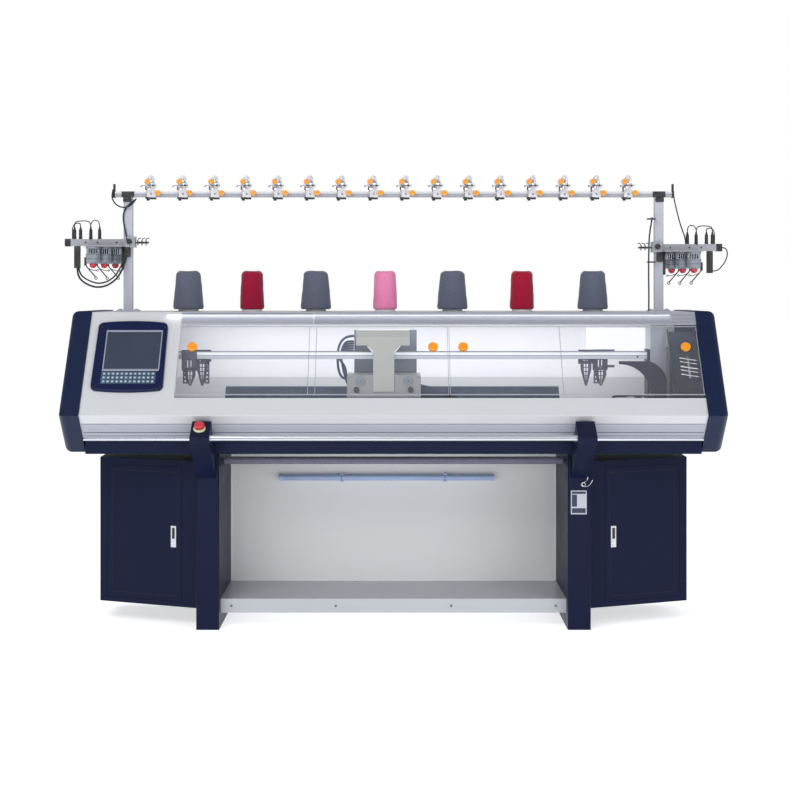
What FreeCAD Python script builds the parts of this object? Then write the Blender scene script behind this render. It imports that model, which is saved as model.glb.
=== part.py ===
import FreeCAD, Part
import math
import os

os.makedirs("parts", exist_ok=True)
V = FreeCAD.Vector

# Driving dimensions in millimetres. X runs along the needle beds, Y from front to back, Z up.
machine_length = 2562       # over the two end covers
machine_depth = 880         # start bar brackets to rear cover
housing_bottom = 690        # underside of the bed beam
deck_height = 1238          # top of the yarn table
bay_width = 1360            # between the legs
bed_length = 1330           # needle bed
leg_width = 90
leg_wall = 4
end_cover_width = 81
end_cover_rim = 14
control_width = 357         # control housing at the left
skin = 4                    # sheet thickness of the covers
pane = 5                    # clear cover thickness
beam_wall = 6
beam_height = 60
cabinet_floor = 75
cabinet_top = 654
cabinet_wall = 3
door_depth = 15
shelf_height = 111
roller_radius = 15
guide_radius = 12.5
rail_height = 30
rail_thickness = 10
rack_height = 1739          # top of the rack beam
rack_section = 24
unit_count = 16
unit_pitch = 133
cone_places = (-854, -589, -323, -35, 245, 535, 830)
cone_height = 160
start_bar_radius = 11
seat_gap = 0.3              # between pieces that are seated but not fused
run_fit = 0.05              # radial clearance of a shaft in its bore

# Planes worked out from the driving dimensions.
half = machine_length / 2
front_y = -machine_depth / 2
rear_y = machine_depth / 2
inner_x = half - end_cover_width
control_x = -inner_x + control_width
bay_x = bay_width / 2
leg_x = bay_x + leg_width
nose = (front_y + 90, 846)              # ridge of the hood
panel_foot = (nose[0] + 99, 752)
fascia_top = (nose[0] + 49, 911)
deck_front = (nose[0] + 294, deck_height)
leg_front = nose[0] + 151
gap_y = nose[0] + 320                   # needle gap between the two beds
panel_y = rear_y - 169                  # back panel under the beds
rack_y = rear_y - 140
cone_y = rear_y - 190
beam_front = panel_foot[0] + 11
beam_rear = rear_y - skin
cabinet_rear = rear_y - 60
slope_length = math.dist(fascia_top, deck_front)
slope_degrees = math.degrees(math.atan2(deck_front[1] - fascia_top[1], deck_front[0] - fascia_top[0]))


def box(x0, x1, y0, y1, z0, z1):
    return Part.makeBox(x1 - x0, y1 - y0, z1 - z0, V(x0, y0, z0))


def face(points):
    return Part.Face(Part.makePolygon(points + points[:1]))


def along_x(outline, x0, x1):
    return face([V(x0, y, z) for y, z in outline]).extrude(V(x1 - x0, 0, 0))


def along_y(outline, y0, y1):
    return face([V(x, y0, z) for x, z in outline]).extrude(V(0, y1 - y0, 0))


def along_z(outline, z0, z1):
    return face([V(x, y, z0) for x, y in outline]).extrude(V(0, 0, z1 - z0))


def rod(start, end, radius):
    axis = V(*end) - V(*start)
    return Part.makeCylinder(radius, axis.Length, V(*start), axis)


def fuse(shapes):
    whole = shapes[0]
    for other in shapes[1:]:
        whole = whole.fuse(other)
    return whole.removeSplitter()


def cut(shape, tools):
    for tool in tools:
        shape = shape.cut(tool)
    return shape


def round_edges(shape, radius, wanted):
    return shape.makeFillet(radius, [edge for edge in shape.Edges if wanted(edge)])


def edge_is(edge, direction):
    span = edge.Vertexes[-1].Point - edge.Vertexes[0].Point
    return span.Length > 1e-6 and abs(span.normalize().dot(direction)) > 0.999


def on_slope(shape):
    # Local X stays along the machine, local Y runs up the hood's slope and local Z stands out of it.
    moved = shape.copy()
    turn = FreeCAD.Rotation(V(1, 0, 0), slope_degrees)
    moved.Placement = FreeCAD.Placement(V(0, fascia_top[0], fascia_top[1]), turn).multiply(moved.Placement)
    return moved


def slope_point(distance, height=0):
    turn = math.radians(slope_degrees)
    return (fascia_top[0] + distance * math.cos(turn) - height * math.sin(turn),
            fascia_top[1] + distance * math.sin(turn) + height * math.cos(turn))


def sheet_outline(points, thickness):
    # The outer line of a folded sheet and its inner line, mitred at each fold, as one closed outline.
    inner = []
    for i, point in enumerate(points):
        normals = []
        for a, b in ((i - 1, i), (i, i + 1)):
            if 0 <= a and b < len(points):
                dy, dz = points[b][0] - points[a][0], points[b][1] - points[a][1]
                normals.append((dz / math.hypot(dy, dz), -dy / math.hypot(dy, dz)))
        ny = sum(n[0] for n in normals) / len(normals)
        nz = sum(n[1] for n in normals) / len(normals)
        scale = thickness / (ny * ny + nz * nz)
        inner.append((point[0] + ny * scale, point[1] + nz * scale))
    return points + inner[::-1]


def mirrored(shape):
    return shape.mirror(V(0, 0, 0), V(1, 0, 0))


def save(name, *shapes):
    solids = [solid for shape in shapes for solid in shape.Solids]
    whole = solids[0] if len(solids) == 1 else Part.makeCompound(solids)
    whole.exportStep("parts/" + name + ".step")


def save_pair(name, left):
    save("left_" + name, left)
    save("right_" + name, mirrored(left))


# Legs: folded box columns, open at the back, with a bearing hole for the take-down roller.
roller_z = housing_bottom - 45
shaft_radius = 6
left_leg = box(-leg_x, -bay_x, leg_front, cabinet_rear, 0, housing_bottom)
left_leg = round_edges(left_leg, 6, lambda e: edge_is(e, V(0, 0, 1)) and e.CenterOfMass.y < leg_front + 1)
left_leg = cut(left_leg, [
    box(-leg_x + leg_wall, -bay_x - leg_wall, leg_front + leg_wall, cabinet_rear + 1,
        leg_wall, housing_bottom - leg_wall),
    rod((-leg_x + leg_wall, gap_y, roller_z), (-bay_x + 1, gap_y, roller_z), shaft_radius + run_fit),
    box(-bay_x - leg_wall - 1, -bay_x + 1, leg_front + 46, leg_front + 54, 578, 618)])
save_pair("leg", left_leg)

save("back_panel", box(-bay_x, bay_x, panel_y, panel_y + 3, shelf_height - 55, housing_bottom))

# Fabric shelf: folded tray between the legs, with a front lip.
lip_front = leg_front + 60
lip_bottom = shelf_height - 55
shelf_sheet = 2
shelf_line = [(panel_y, shelf_height), (lip_front, shelf_height), (lip_front, lip_bottom),
              (lip_front + 25, lip_bottom)]
shelf = along_x(sheet_outline(shelf_line, -shelf_sheet), -bay_x, bay_x)
for x in (-bay_x + 42, -bay_x / 3, bay_x / 3, bay_x - 42):
    shelf = shelf.cut(rod((x, lip_front - 1, lip_bottom + 28), (x, lip_front + 4, lip_bottom + 28), 3))
save("fabric_shelf", shelf)

# Work lamp: tube, two end caps and two clips on the back panel.
lamp_radius = 12
lamp_y = panel_y - 22
lamp_z = housing_bottom - 145
lamp_left, lamp_right = -462, 403        # between the end caps
clip_x = 215
lamp = [rod((lamp_left, lamp_y, lamp_z), (lamp_right, lamp_y, lamp_z), lamp_radius)]
for x, step in ((lamp_left, -16), (lamp_right, 16)):
    lamp.append(rod((x, lamp_y, lamp_z), (x + step, lamp_y, lamp_z), lamp_radius + 1))
for x in (-clip_x, clip_x):
    clip = box(x - 7, x + 7, lamp_y - 4, panel_y, lamp_z - 17, lamp_z + 17)
    lamp.append(clip.cut(rod((x - 8, lamp_y, lamp_z), (x + 8, lamp_y, lamp_z), lamp_radius + run_fit)))
save("work_lamp", *lamp)

# Bed beam: a welded tray with the fabric chute and the two castings that carry the needle beds.
bed_top = 940
bed_thickness = 16
bed_reach = 140                          # of each bed's sloping face, measured level
gap_half = 4
bed_x = (-bed_length / 2 - 5, bed_length / 2 - 5)
plate_top = housing_bottom + beam_wall
beam = cut(box(-inner_x + 5, inner_x - 5, beam_front, beam_rear, housing_bottom, housing_bottom + beam_height), [
    box(-inner_x + 5 + beam_wall, inner_x - 5 - beam_wall, beam_front + beam_wall, beam_rear - beam_wall,
        plate_top, housing_bottom + beam_height + 1),
    box(bed_x[0], bed_x[1], gap_y - 40, gap_y + 40, housing_bottom - 1, plate_top + 1)])


def bed_section(side, top_drop, bottom_drop, end):
    # One bed's sloping slab between two levels below its top face; side is -1 at the front, 1 at the back.
    y = gap_y + side * gap_half
    return [(y, bed_top - top_drop), (y + side * end, bed_top - top_drop - end),
            (y + side * end, bed_top - bottom_drop - end), (y, bed_top - bottom_drop)]


drop = bed_thickness * math.sqrt(2)
for side in (-1, 1):
    y_in, y_out = gap_y + side * 45, gap_y + side * (gap_half + bed_reach)
    under_in = bed_top - drop - abs(y_in - gap_y) + gap_half
    under_out = bed_top - drop - bed_reach
    casting = along_x([(y_in, plate_top), (y_in, under_in), (y_out, under_out), (y_out, plate_top)],
                      bed_x[0] + 10, bed_x[1] - 10)
    beam = beam.fuse(casting)
save("bed_beam", beam.removeSplitter())
save("front_needle_bed", along_x(bed_section(-1, 0, drop, bed_reach), *bed_x))
save("rear_needle_bed", along_x(bed_section(1, 0, drop, bed_reach), *bed_x))

# Take-down roller, turning in the two legs.
save("takedown_roller", fuse([
    rod((-bay_x + 5, gap_y, roller_z), (bay_x - 5, gap_y, roller_z), roller_radius),
    rod((-bay_x - leg_wall, gap_y, roller_z), (bay_x + leg_wall, gap_y, roller_z), shaft_radius)]))

# Cabinets: trapezoid in plan, with the front turned away from the legs.
cabinet_inner = (-leg_x, leg_front + 49)
cabinet_outer = (-half + 99, leg_front + 221)
front_length = math.dist(cabinet_inner, cabinet_outer)
face_dir = V((cabinet_outer[0] - cabinet_inner[0]) / front_length,
             (cabinet_outer[1] - cabinet_inner[1]) / front_length, 0)
in_dir = V(-face_dir.y, face_dir.x, 0) * -1
stile = 34
inner_stile = 70
door_gap = 0.8
door_width = front_length - stile - inner_stile
door_z = (cabinet_floor + 20, cabinet_top - 27)


def cabinet_plan(wall):
    slant = wall / abs(face_dir.x)
    rise = face_dir.y / abs(face_dir.x)
    left, right = cabinet_outer[0] + wall, cabinet_inner[0] - wall
    front_left = cabinet_outer[1] + slant - wall * rise
    front_right = cabinet_inner[1] + slant + wall * rise
    return [(left, front_left), (right, front_right), (right, cabinet_rear - wall), (left, cabinet_rear - wall)]


def on_face(width_from, width_to, depth_from, depth_to, z0, z1):
    # A block on the slanted front, measured from the outer edge inwards and into the cabinet.
    corner = V(cabinet_outer[0], cabinet_outer[1], 0)
    outline = [corner - face_dir * w + in_dir * d for w, d in
               ((width_from, depth_from), (width_to, depth_from), (width_to, depth_to), (width_from, depth_to))]
    return along_z([(p.x, p.y) for p in outline], z0, z1)


cabinet = along_z(cabinet_plan(0), cabinet_floor, cabinet_top)
cabinet = cut(cabinet, [
    along_z(cabinet_plan(cabinet_wall), cabinet_floor + cabinet_wall, cabinet_top - cabinet_wall),
    on_face(stile, stile + door_width, -2, cabinet_wall + 2, *door_z)])
save_pair("cabinet", cabinet)

# Doors: folded pans hinged at their outer upright edge, each with a pressed pocket for its lever.
lever_width, lever_height, lever_depth = 24, 85, 6
lever_from = stile + door_width - 51
lever_z = (door_z[0] + door_z[1]) / 2 - 10
w0, w1 = stile + door_gap, stile + door_width - door_gap
z0, z1 = door_z[0] + door_gap, door_z[1] - door_gap
door = on_face(w0, w1, 0, door_depth, z0, z1).cut(
    on_face(w0 + 2, w1 - 2, 2, door_depth + 1, z0 + 2, z1 - 2))
door = door.cut(on_face(w0 + 20, w0 + 22, -1, 0.8, z0 + 20, z1 - 20))
door = door.cut(on_face(w1 - 22, w1 - 20, -1, 0.8, z0 + 20, z1 - 20))
door = door.cut(on_face(w0 + 20, w1 - 20, -1, 0.8, z1 - 22, z1 - 20))
door = door.cut(on_face(w0 + 20, w1 - 20, -1, 0.8, z0 + 20, z0 + 22))
lever_span = (lever_from, lever_from + lever_width)
lever_zs = (lever_z - lever_height / 2, lever_z + lever_height / 2)
door = door.fuse(on_face(lever_span[0] - 3, lever_span[1] + 3, 1, lever_depth + 4, lever_zs[0] - 3, lever_zs[1] + 3))
door = door.cut(on_face(lever_span[0] - 1, lever_span[1] + 1, -1, lever_depth + 1, lever_zs[0] - 1, lever_zs[1] + 1))
save_pair("door", door.removeSplitter())
lever = on_face(*lever_span, seat_gap, lever_depth + 0.7, *lever_zs)
save_pair("lock_lever", lever.cut(on_face(lever_span[0] + 7, lever_span[1] - 7, -1, 2, lever_zs[0] + 12,
                                          lever_zs[0] + 22)))

# Start bar and the two brackets that carry it in front of the hood.
bar_y, bar_z = front_y + 30, 767
bracket_x = (-leg_x + 3, -leg_x + 76)
bracket_tip = (front_y, 772)
bracket_head = (nose[0] + 3, 825)
bracket_root = (leg_front, 593)
bracket_line = [bracket_tip, (front_y, bracket_tip[1] - 20), bracket_root, (leg_front, housing_bottom - seat_gap),
                (beam_front - 3, housing_bottom - seat_gap), (beam_front - 26, bracket_tip[1] - 32),
                (nose[0] + 6, bracket_head[1] - 11), bracket_head]
bracket = along_x(bracket_line, *bracket_x)
bracket = round_edges(bracket, 5, lambda e: edge_is(e, V(1, 0, 0)) and e.CenterOfMass.y < front_y + 1)
socket = rod((bracket_x[1] - 12, bar_y, bar_z), (bracket_x[1] + 1, bar_y, bar_z), start_bar_radius + run_fit)
bracket = bracket.cut(socket)
bar_end = -bracket_x[1] + 11.5
save("start_bar", rod((-bar_end, bar_y, bar_z), (bar_end, bar_y, bar_z), start_bar_radius))

# Emergency stop on the left bracket's sloping top.
top_angle = math.atan2(bracket_head[1] - bracket_tip[1], bracket_head[0] - bracket_tip[0])
stop_x = bracket_x[0] + 33
stop_y = front_y + 46
stop_z = bracket_tip[1] + (stop_y - front_y) * math.tan(top_angle)
stop_axis = V(0, -math.sin(top_angle), math.cos(top_angle))
stop_travel = 5
stem_radius = 9
collar_height = 6
collar_radius = 23
button_radius = 19
button_height = 14


def on_stop(height_from, height_to, radius):
    base = V(stop_x, stop_y, stop_z) + stop_axis * height_from
    return Part.makeCylinder(radius, height_to - height_from, base, stop_axis)


left_bracket = bracket.cut(on_stop(-16, 1, stem_radius + seat_gap))
save("left_bar_bracket", left_bracket)
save("right_bar_bracket", mirrored(bracket))
collar = on_stop(0, collar_height, collar_radius)
save("estop_collar", collar.cut(on_stop(-1, collar_height + 1, stem_radius + seat_gap)))
button_foot = collar_height + stop_travel + 1
button = on_stop(button_foot, button_foot + button_height, button_radius)
button = round_edges(button, 5, lambda e: len(e.Vertexes) == 1 and
                     (e.CenterOfMass - V(stop_x, stop_y, stop_z)).dot(stop_axis) > button_foot + 8)
save("estop_button", button.fuse(on_stop(-8, button_foot + 1, stem_radius)).removeSplitter())

# End covers: thick moulded shells with rounded outer rims.
proud = 6
end_line = [(rear_y, housing_bottom + 5), (panel_foot[0] + 46, housing_bottom + 5),
            (panel_foot[0] - 6, panel_foot[1] - 6), (nose[0] - proud, nose[1]),
            (fascia_top[0] - proud, fascia_top[1] + 2), (deck_front[0] - 4, deck_height + 4),
            (rear_y, deck_height + 4)]
end_cover = along_x(end_line, -half, -inner_x)
end_cover = round_edges(end_cover, 30, lambda e: abs(e.CenterOfMass.x + half) < 0.01)
hollow = Part.makePolygon([V(-half + end_cover_rim, y, z) for y, z in end_line + end_line[:1]])
hollow = Part.Face(hollow.makeOffset2D(-end_cover_rim)).extrude(V(end_cover_width, 0, 0))
save_pair("end_cover", end_cover.cut(hollow))

# Front cover: fascia across the whole width, in one piece with the control housing at the left.
cover_x = inner_x
fascia_line = [panel_foot, nose, fascia_top]
fascia = along_x(sheet_outline(fascia_line, skin), -cover_x, cover_x)
panel = box(-cover_x, control_x, -8, slope_length - 0.5, -skin, 0)
side = box(control_x - skin, control_x, 0, slope_length - 0.5, -14, 0)
cover = fuse([fascia, on_slope(panel), on_slope(side)])
cover = round_edges(cover, 3, lambda e: edge_is(e, V(1, 0, 0)) and e.Length > cover_x
                    and abs(e.CenterOfMass.y - nose[0]) < 0.1)
save("front_cover", cover)
save("edge_trim", box(-cover_x, cover_x, panel_foot[0] - 6, beam_front - seat_gap,
                      panel_foot[1] - 9, panel_foot[1] - seat_gap))

# Control panel on the slope: bezel with arched ends, screen and keypad.
bezel_x = (control_x - 322, control_x - 49)
bezel_v = (24, 357)
bezel_height = 14
arch = 9


def bezel_face():
    x0, x1 = bezel_x
    v0, v1 = bezel_v
    mid = (x0 + x1) / 2
    edges = [Part.Arc(V(x0, v1 - arch, 0), V(mid, v1, 0), V(x1, v1 - arch, 0)).toShape(),
             Part.LineSegment(V(x1, v1 - arch, 0), V(x1 + 3, v0 + arch, 0)).toShape(),
             Part.Arc(V(x1 + 3, v0 + arch, 0), V(mid, v0, 0), V(x0 - 3, v0 + arch, 0)).toShape(),
             Part.LineSegment(V(x0 - 3, v0 + arch, 0), V(x0, v1 - arch, 0)).toShape()]
    return Part.Face(Part.Wire(edges))


screen_x = (bezel_x[0] + 35, bezel_x[1] - 16)
screen_v = (122, 311)
keypad_v = (56, 116)
keypad_x = (screen_x[0] - 2, screen_x[1] - 10)
screen_depth = 6
bezel = bezel_face().extrude(V(0, 0, bezel_height))
bezel = round_edges(bezel, 22, lambda e: edge_is(e, V(0, 0, 1)))
bezel = round_edges(bezel, 5, lambda e: e.CenterOfMass.z > bezel_height - 0.01)
bezel = cut(bezel, [box(*screen_x, *screen_v, bezel_height - screen_depth, bezel_height + 1),
                    box(*keypad_x, *keypad_v, bezel_height - screen_depth, bezel_height + 1)])
save("screen_bezel", on_slope(bezel))
inset = 0.2
save("screen_glass", on_slope(box(screen_x[0] + inset, screen_x[1] - inset, screen_v[0] + inset,
                                  screen_v[1] - inset, bezel_height - screen_depth + 0.1, bezel_height - 2)))
keys = [box(keypad_x[0] + inset, keypad_x[1] - inset, keypad_v[0] + inset, keypad_v[1] - inset,
            bezel_height - screen_depth + 0.1, bezel_height - 3)]
key_pitch = (keypad_x[1] - keypad_x[0] - 8) / 12
for column in range(12):
    for row in range(3):
        u = keypad_x[0] + 4 + key_pitch * column
        v = keypad_v[0] + 4 + 18 * row
        keys.append(box(u + 1.5, u + key_pitch - 1.5, v + 1, v + 15, bezel_height - 3.5, bezel_height - 1.5))
save("keypad", on_slope(fuse(keys)))

# Yarn table: deck over the hood with a front band on the slope; the windows hang below the band.
band_from = slope_length - 60
band_line = [slope_point(band_from), deck_front, (beam_rear, deck_height)]
band_gap = 1
table = along_x(sheet_outline(band_line, skin), control_x + band_gap, cover_x)
panel_back = deck_front[0] + skin / math.sin(math.radians(slope_degrees))
deck_left = box(-cover_x, control_x + band_gap, panel_back + seat_gap, beam_rear, deck_height - skin, deck_height)
save("yarn_table", fuse([table, deck_left]))

# Two clear covers over the beds, hinged along their top edges, with two turning knobs each.
hinge_radius = 4.5
hinge_v = band_from - hinge_radius - seat_gap
window_v = (8, hinge_v)
window_split = 216
window_x = [(control_x + 3, window_split - 1.5), (window_split + 1.5, cover_x - 3)]
knob_v = 234
knob_places = [(control_x + 54.5, window_split - 61), (window_split + 57, cover_x - 55)]
knob_radius = 19.5
knob_stem = 5
for name, (x0, x1), places in zip(("left", "right"), window_x, knob_places):
    window = fuse([box(x0, x1, *window_v, -pane, 0), box(x0, x1, window_v[0], window_v[0] + pane, -pane, 8),
                   rod((x0, hinge_v, -pane / 2), (x1, hinge_v, -pane / 2), hinge_radius)])
    knobs = []
    for x in places:
        window = window.cut(rod((x, knob_v, -pane - 1), (x, knob_v, 1), knob_stem + seat_gap))
        knob = rod((x, knob_v, 1), (x, knob_v, 15), knob_radius)
        knob = round_edges(knob, 4, lambda e: len(e.Vertexes) == 1 and e.CenterOfMass.z > 14)
        knobs.append(knob.fuse(rod((x, knob_v, -pane), (x, knob_v, 2), knob_stem)).removeSplitter())
    save(name + "_window", on_slope(window))
    save(name + "_window_knobs", *[on_slope(knob) for knob in knobs])

# Rear cover with its clear window.
rear_opening = (-inner_x + 200, inner_x - 100, 955, 1185)
save("rear_cover", box(-cover_x, cover_x, beam_rear, rear_y, housing_bottom, deck_height).cut(
    box(rear_opening[0], rear_opening[1], beam_rear - 1, rear_y + 1, *rear_opening[2:])))
save("rear_window", box(rear_opening[0] + seat_gap, rear_opening[1] - seat_gap, beam_rear, rear_y - 1,
                        rear_opening[2] + seat_gap, rear_opening[3] - seat_gap))

# Yarn rails with their end brackets, and the round guides that the carriage runs on.
rail_x = (control_x - 57, bed_x[1] + 350)
rail_z = (1051, 1051 + rail_height)
rail_ys = (gap_y - 22, gap_y + 22)
save("yarn_rails", *[box(*rail_x, y - rail_thickness / 2, y + rail_thickness / 2, *rail_z) for y in rail_ys])
bracket_y = (gap_y - 45, gap_y + 45)
left_end = box(rail_x[0] - 10, rail_x[0], *bracket_y, plate_top, rail_z[1] + 9)
right_end = box(rail_x[1], rail_x[1] + 10, *bracket_y, plate_top, rail_z[1] + 9)
arm_x = rail_x[1] - 115
arm_top, arm_under = 1043, 1031          # the level stretch of the curved arm
arm_elbow, arm_armpit = 935, 907         # where its curve meets the upright foot
foot_x = (arm_x + 130, arm_x + 190)


def edge(*points):
    places = [V(x, 0, z) for x, z in points]
    return (Part.LineSegment if len(places) == 2 else Part.Arc)(*places).toShape()


arm = [edge((arm_x, arm_top), (arm_x + 120, arm_top)),
       edge((arm_x + 120, arm_top), (arm_x + 172, arm_top - 35), (foot_x[1], arm_elbow)),
       edge((foot_x[1], arm_elbow), (foot_x[1], plate_top)),
       edge((foot_x[1], plate_top), (foot_x[0], plate_top)),
       edge((foot_x[0], plate_top), (foot_x[0] - 2, arm_armpit)),
       edge((foot_x[0] - 2, arm_armpit), (arm_x + 90, arm_under - 35), (arm_x, arm_under)),
       edge((arm_x, arm_under), (arm_x, arm_top))]
arm = Part.Face(Part.Wire(arm)).extrude(V(0, 8, 0))
arm.translate(V(0, bracket_y[0] - 8, 0))
save("rail_brackets", left_end, right_end, arm)

guide_x = (control_x - 62, bed_x[1] + 330)
guide_z = 868
guide_ys = (gap_y - 170, gap_y + 170)
guides = []
for y in guide_ys:
    guides.append(rod((guide_x[0], y, guide_z), (guide_x[1], y, guide_z), guide_radius))
    for x in (guide_x[0] - 25, guide_x[1]):
        guides.append(box(x, x + 25, y - 22, y + 22, plate_top, guide_z + 22))
save("carriage_guides", *guides)

# Carriage: two cam boxes over the beds, a sloping T-shaped cover in front and a plate behind.
carriage_x = (-182, 107)
lug_x = (-120, 45)                       # of the bearing blocks on the two guides
box_top = 991
cover_foot = (gap_y - 160, 928)
cover_head = (gap_y - 55, 1165)
cover_sheet = 4
cover_lean = math.atan2(cover_head[0] - cover_foot[0], cover_head[1] - cover_foot[1])


def cover_back(z):
    y = cover_foot[0] + (z - cover_foot[1]) * math.tan(cover_lean)
    return y + cover_sheet / math.cos(cover_lean) + seat_gap


def cam_section(side):
    ride = 3 * math.sqrt(2)
    reach = 112
    front = [(gap_y - 12, bed_top - 8 + ride), (gap_y - 12 - reach, bed_top - 8 - reach + ride),
             (gap_y - 146, 850), (cover_back(910), 910), (cover_back(box_top), box_top), (gap_y - 12, box_top)]
    return [(gap_y + (y - gap_y) * -side, z) for y, z in front]


boxes = []
for side, guide_y in zip((-1, 1), guide_ys):
    cam_box = along_x(cam_section(side), *carriage_x)
    lug_y = sorted((guide_y - side * 24, guide_y + side * 20))
    lug = box(*lug_x, *lug_y, guide_z - 20, guide_z + 18)
    cam_box = cam_box.fuse(lug).removeSplitter()
    boxes.append(cam_box.cut(rod((carriage_x[0] - 1, guide_y, guide_z), (carriage_x[1] + 1, guide_y, guide_z),
                                 guide_radius + run_fit)))
save("cam_boxes", *boxes)

head_x = (-148, 64)
stem_x = (-80, 3)
head_bottom = 1107
corner = 22
plate_y = gap_y + 84
lean_length = math.dist(cover_foot, cover_head)
head_v = lean_length * (head_bottom - cover_foot[1]) / (cover_head[1] - cover_foot[1])
outline = [(head_x[0], lean_length), (head_x[0], head_v), (stem_x[0] - corner, head_v), (stem_x[0], head_v - corner),
           (stem_x[0], 0), (stem_x[1], 0), (stem_x[1], head_v - corner), (stem_x[1] + corner, head_v),
           (head_x[1], head_v), (head_x[1], lean_length)]
cover = face([V(x, v, 0) for x, v in outline]).extrude(V(0, 0, -cover_sheet))
cover.Placement = FreeCAD.Placement(V(0, *cover_foot), FreeCAD.Rotation(V(1, 0, 0), 90 - math.degrees(cover_lean)))
roof = box(*head_x, cover_head[0] + 3, plate_y - seat_gap, cover_head[1] - cover_sheet, cover_head[1] + 1)
save("carriage_cover", fuse([cover, roof]))
back_plate_x = (-159, 94)
save("carriage_plate", box(*back_plate_x, plate_y, plate_y + 6, box_top, cover_head[1]))
cam_knob_z = 935
cam_knob_radius = 11
knobs = []
for x in (carriage_x[0] + 37, carriage_x[1] - 40):
    y = cover_back(cam_knob_z) - 1
    knobs.append(rod((x, y, cam_knob_z), (x, y - 16, cam_knob_z + 7), cam_knob_radius))
knobs = [cut(knob, boxes) for knob in knobs]
save("carriage_knobs", *knobs)

# Yarn carriers: a slider on its own face of a rail, a crank and a tapering arm down to the gap.
arm_sheet = 3
tracks = [(-1, -1, -7), (-1, 1, -2.3), (1, -1, 2.3), (1, 1, 7)]
carrier_rest = (control_x + 30, control_x + 78, rail_x[1] - 240, rail_x[1] - 180)
for number, ((rail, face_side, lane), x) in enumerate(zip(tracks, carrier_rest), 1):
    rail_y = rail_ys[0] if rail < 0 else rail_ys[1]
    near = rail_y + face_side * (rail_thickness / 2 + seat_gap)
    far = near + face_side * 8
    outer = rail * face_side > 0
    crank_z = 1005 if outer else 1030
    lane_y = gap_y + lane
    slider = box(x - 30, x + 30, min(near, far), max(near, far), crank_z, rail_z[1] + 6)
    slider = slider.cut(box(x - 18, x + 18, min(near, far) - 1, max(near, far) + 1, crank_z + 12, crank_z + 30))
    crank = box(x - 22, x + 22, min(far, lane_y - arm_sheet / 2), max(far, lane_y + arm_sheet / 2),
                crank_z, crank_z + 6)
    blade = along_y([(x - 22, crank_z + 6), (x - 22, crank_z - 20), (x - 4, bed_top + 3), (x + 4, bed_top + 3),
                     (x + 22, crank_z - 20), (x + 22, crank_z + 6)], lane_y - arm_sheet / 2, lane_y + arm_sheet / 2)
    blade = blade.cut(along_y([(x - 8, crank_z - 8), (x, bed_top + 30), (x + 8, crank_z - 8)], lane_y - 5, lane_y + 5))
    save("yarn_carrier_" + str(number), fuse([slider, crank, blade]))

# Main drive housing inside the right end of the hood.
drive = box(arm_x + 200, inner_x - 30, gap_y - 60, gap_y + 260, plate_top, 1090)
save("drive_housing", round_edges(drive, 12, lambda e: edge_is(e, V(0, 0, 1))))

# Yarn rack: two posts on the deck, a beam, and the tension units clamped along it.
post_x = half - 169
beam_end = half - 105
post_section = (38, 30)
post_top = rack_height - rack_section
posts = []
for side in (-1, 1):
    x = side * post_x
    posts.append(fuse([
        box(x - post_section[0] / 2, x + post_section[0] / 2, rack_y - post_section[1] / 2,
            rack_y + post_section[1] / 2, deck_height, post_top),
        box(x - 45, x + 45, rack_y - 35, rack_y + 35, deck_height, deck_height + 5)]))
save("rack_posts", *posts)
front_of_beam = rack_y - 12
rack_beam = [box(-beam_end, beam_end, front_of_beam, rack_y + 12, post_top, rack_height)]
for x in (5 - beam_end, beam_end - 5):
    rack_beam.append(rod((x, rack_y, rack_height), (x, rack_y, rack_height + 32), 4))
save("rack_beam", fuse(rack_beam))

unit_start = -unit_pitch * (unit_count - 1) / 2 - 17
unit_y = (front_of_beam - 14, front_of_beam)        # of a unit's clamp and upright
arm_y = unit_y[0] - 15.5
arm_z = rack_height + 24
wire_radius = 1.5


def tension_body(x):
    clamp = box(x - 17, x + 21, *unit_y, post_top - 2, rack_height + 6)
    upright = along_y([(x - 12, rack_height + 6), (x + 8, rack_height + 6), (x + 12, rack_height + 67),
                       (x - 2, rack_height + 67)], *unit_y)
    foot = box(x - 24, x - 4, unit_y[0], front_of_beam + 20, post_top - 8, post_top - 2)
    ear = box(x + 20, x + 32, *unit_y, rack_height - 9, rack_height - 5)
    return fuse([clamp, upright, foot, ear])


def tension_knob(x, z, radius):
    return rod((x, unit_y[0] - seat_gap, z), (x, unit_y[0] - 14, z), radius)


bodies, knobs, arms = [], [], []
for i in range(unit_count):
    x = unit_start + unit_pitch * i
    bodies.append(tension_body(x))
    rest_stop = box(x - 18, x - 8, arm_y + seat_gap + wire_radius, unit_y[0] - 13, arm_z - 4, arm_z + 20)
    knobs.append(tension_knob(x - 14, rack_height + 40, 11).fuse(rest_stop).removeSplitter())
    knobs.append(tension_knob(x + 30, rack_height - 7, 12))
    wire = rod((x - 36, arm_y, arm_z), (x + 26, arm_y, arm_z), wire_radius)
    hook = rod((x - 36, arm_y, arm_z), (x - 36, arm_y - 24, arm_z - 8), wire_radius)
    arms.append(wire.fuse(hook).removeSplitter())
save("tension_bodies", *bodies)
save("tension_knobs", *knobs)
save("tension_arms", *arms)

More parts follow.
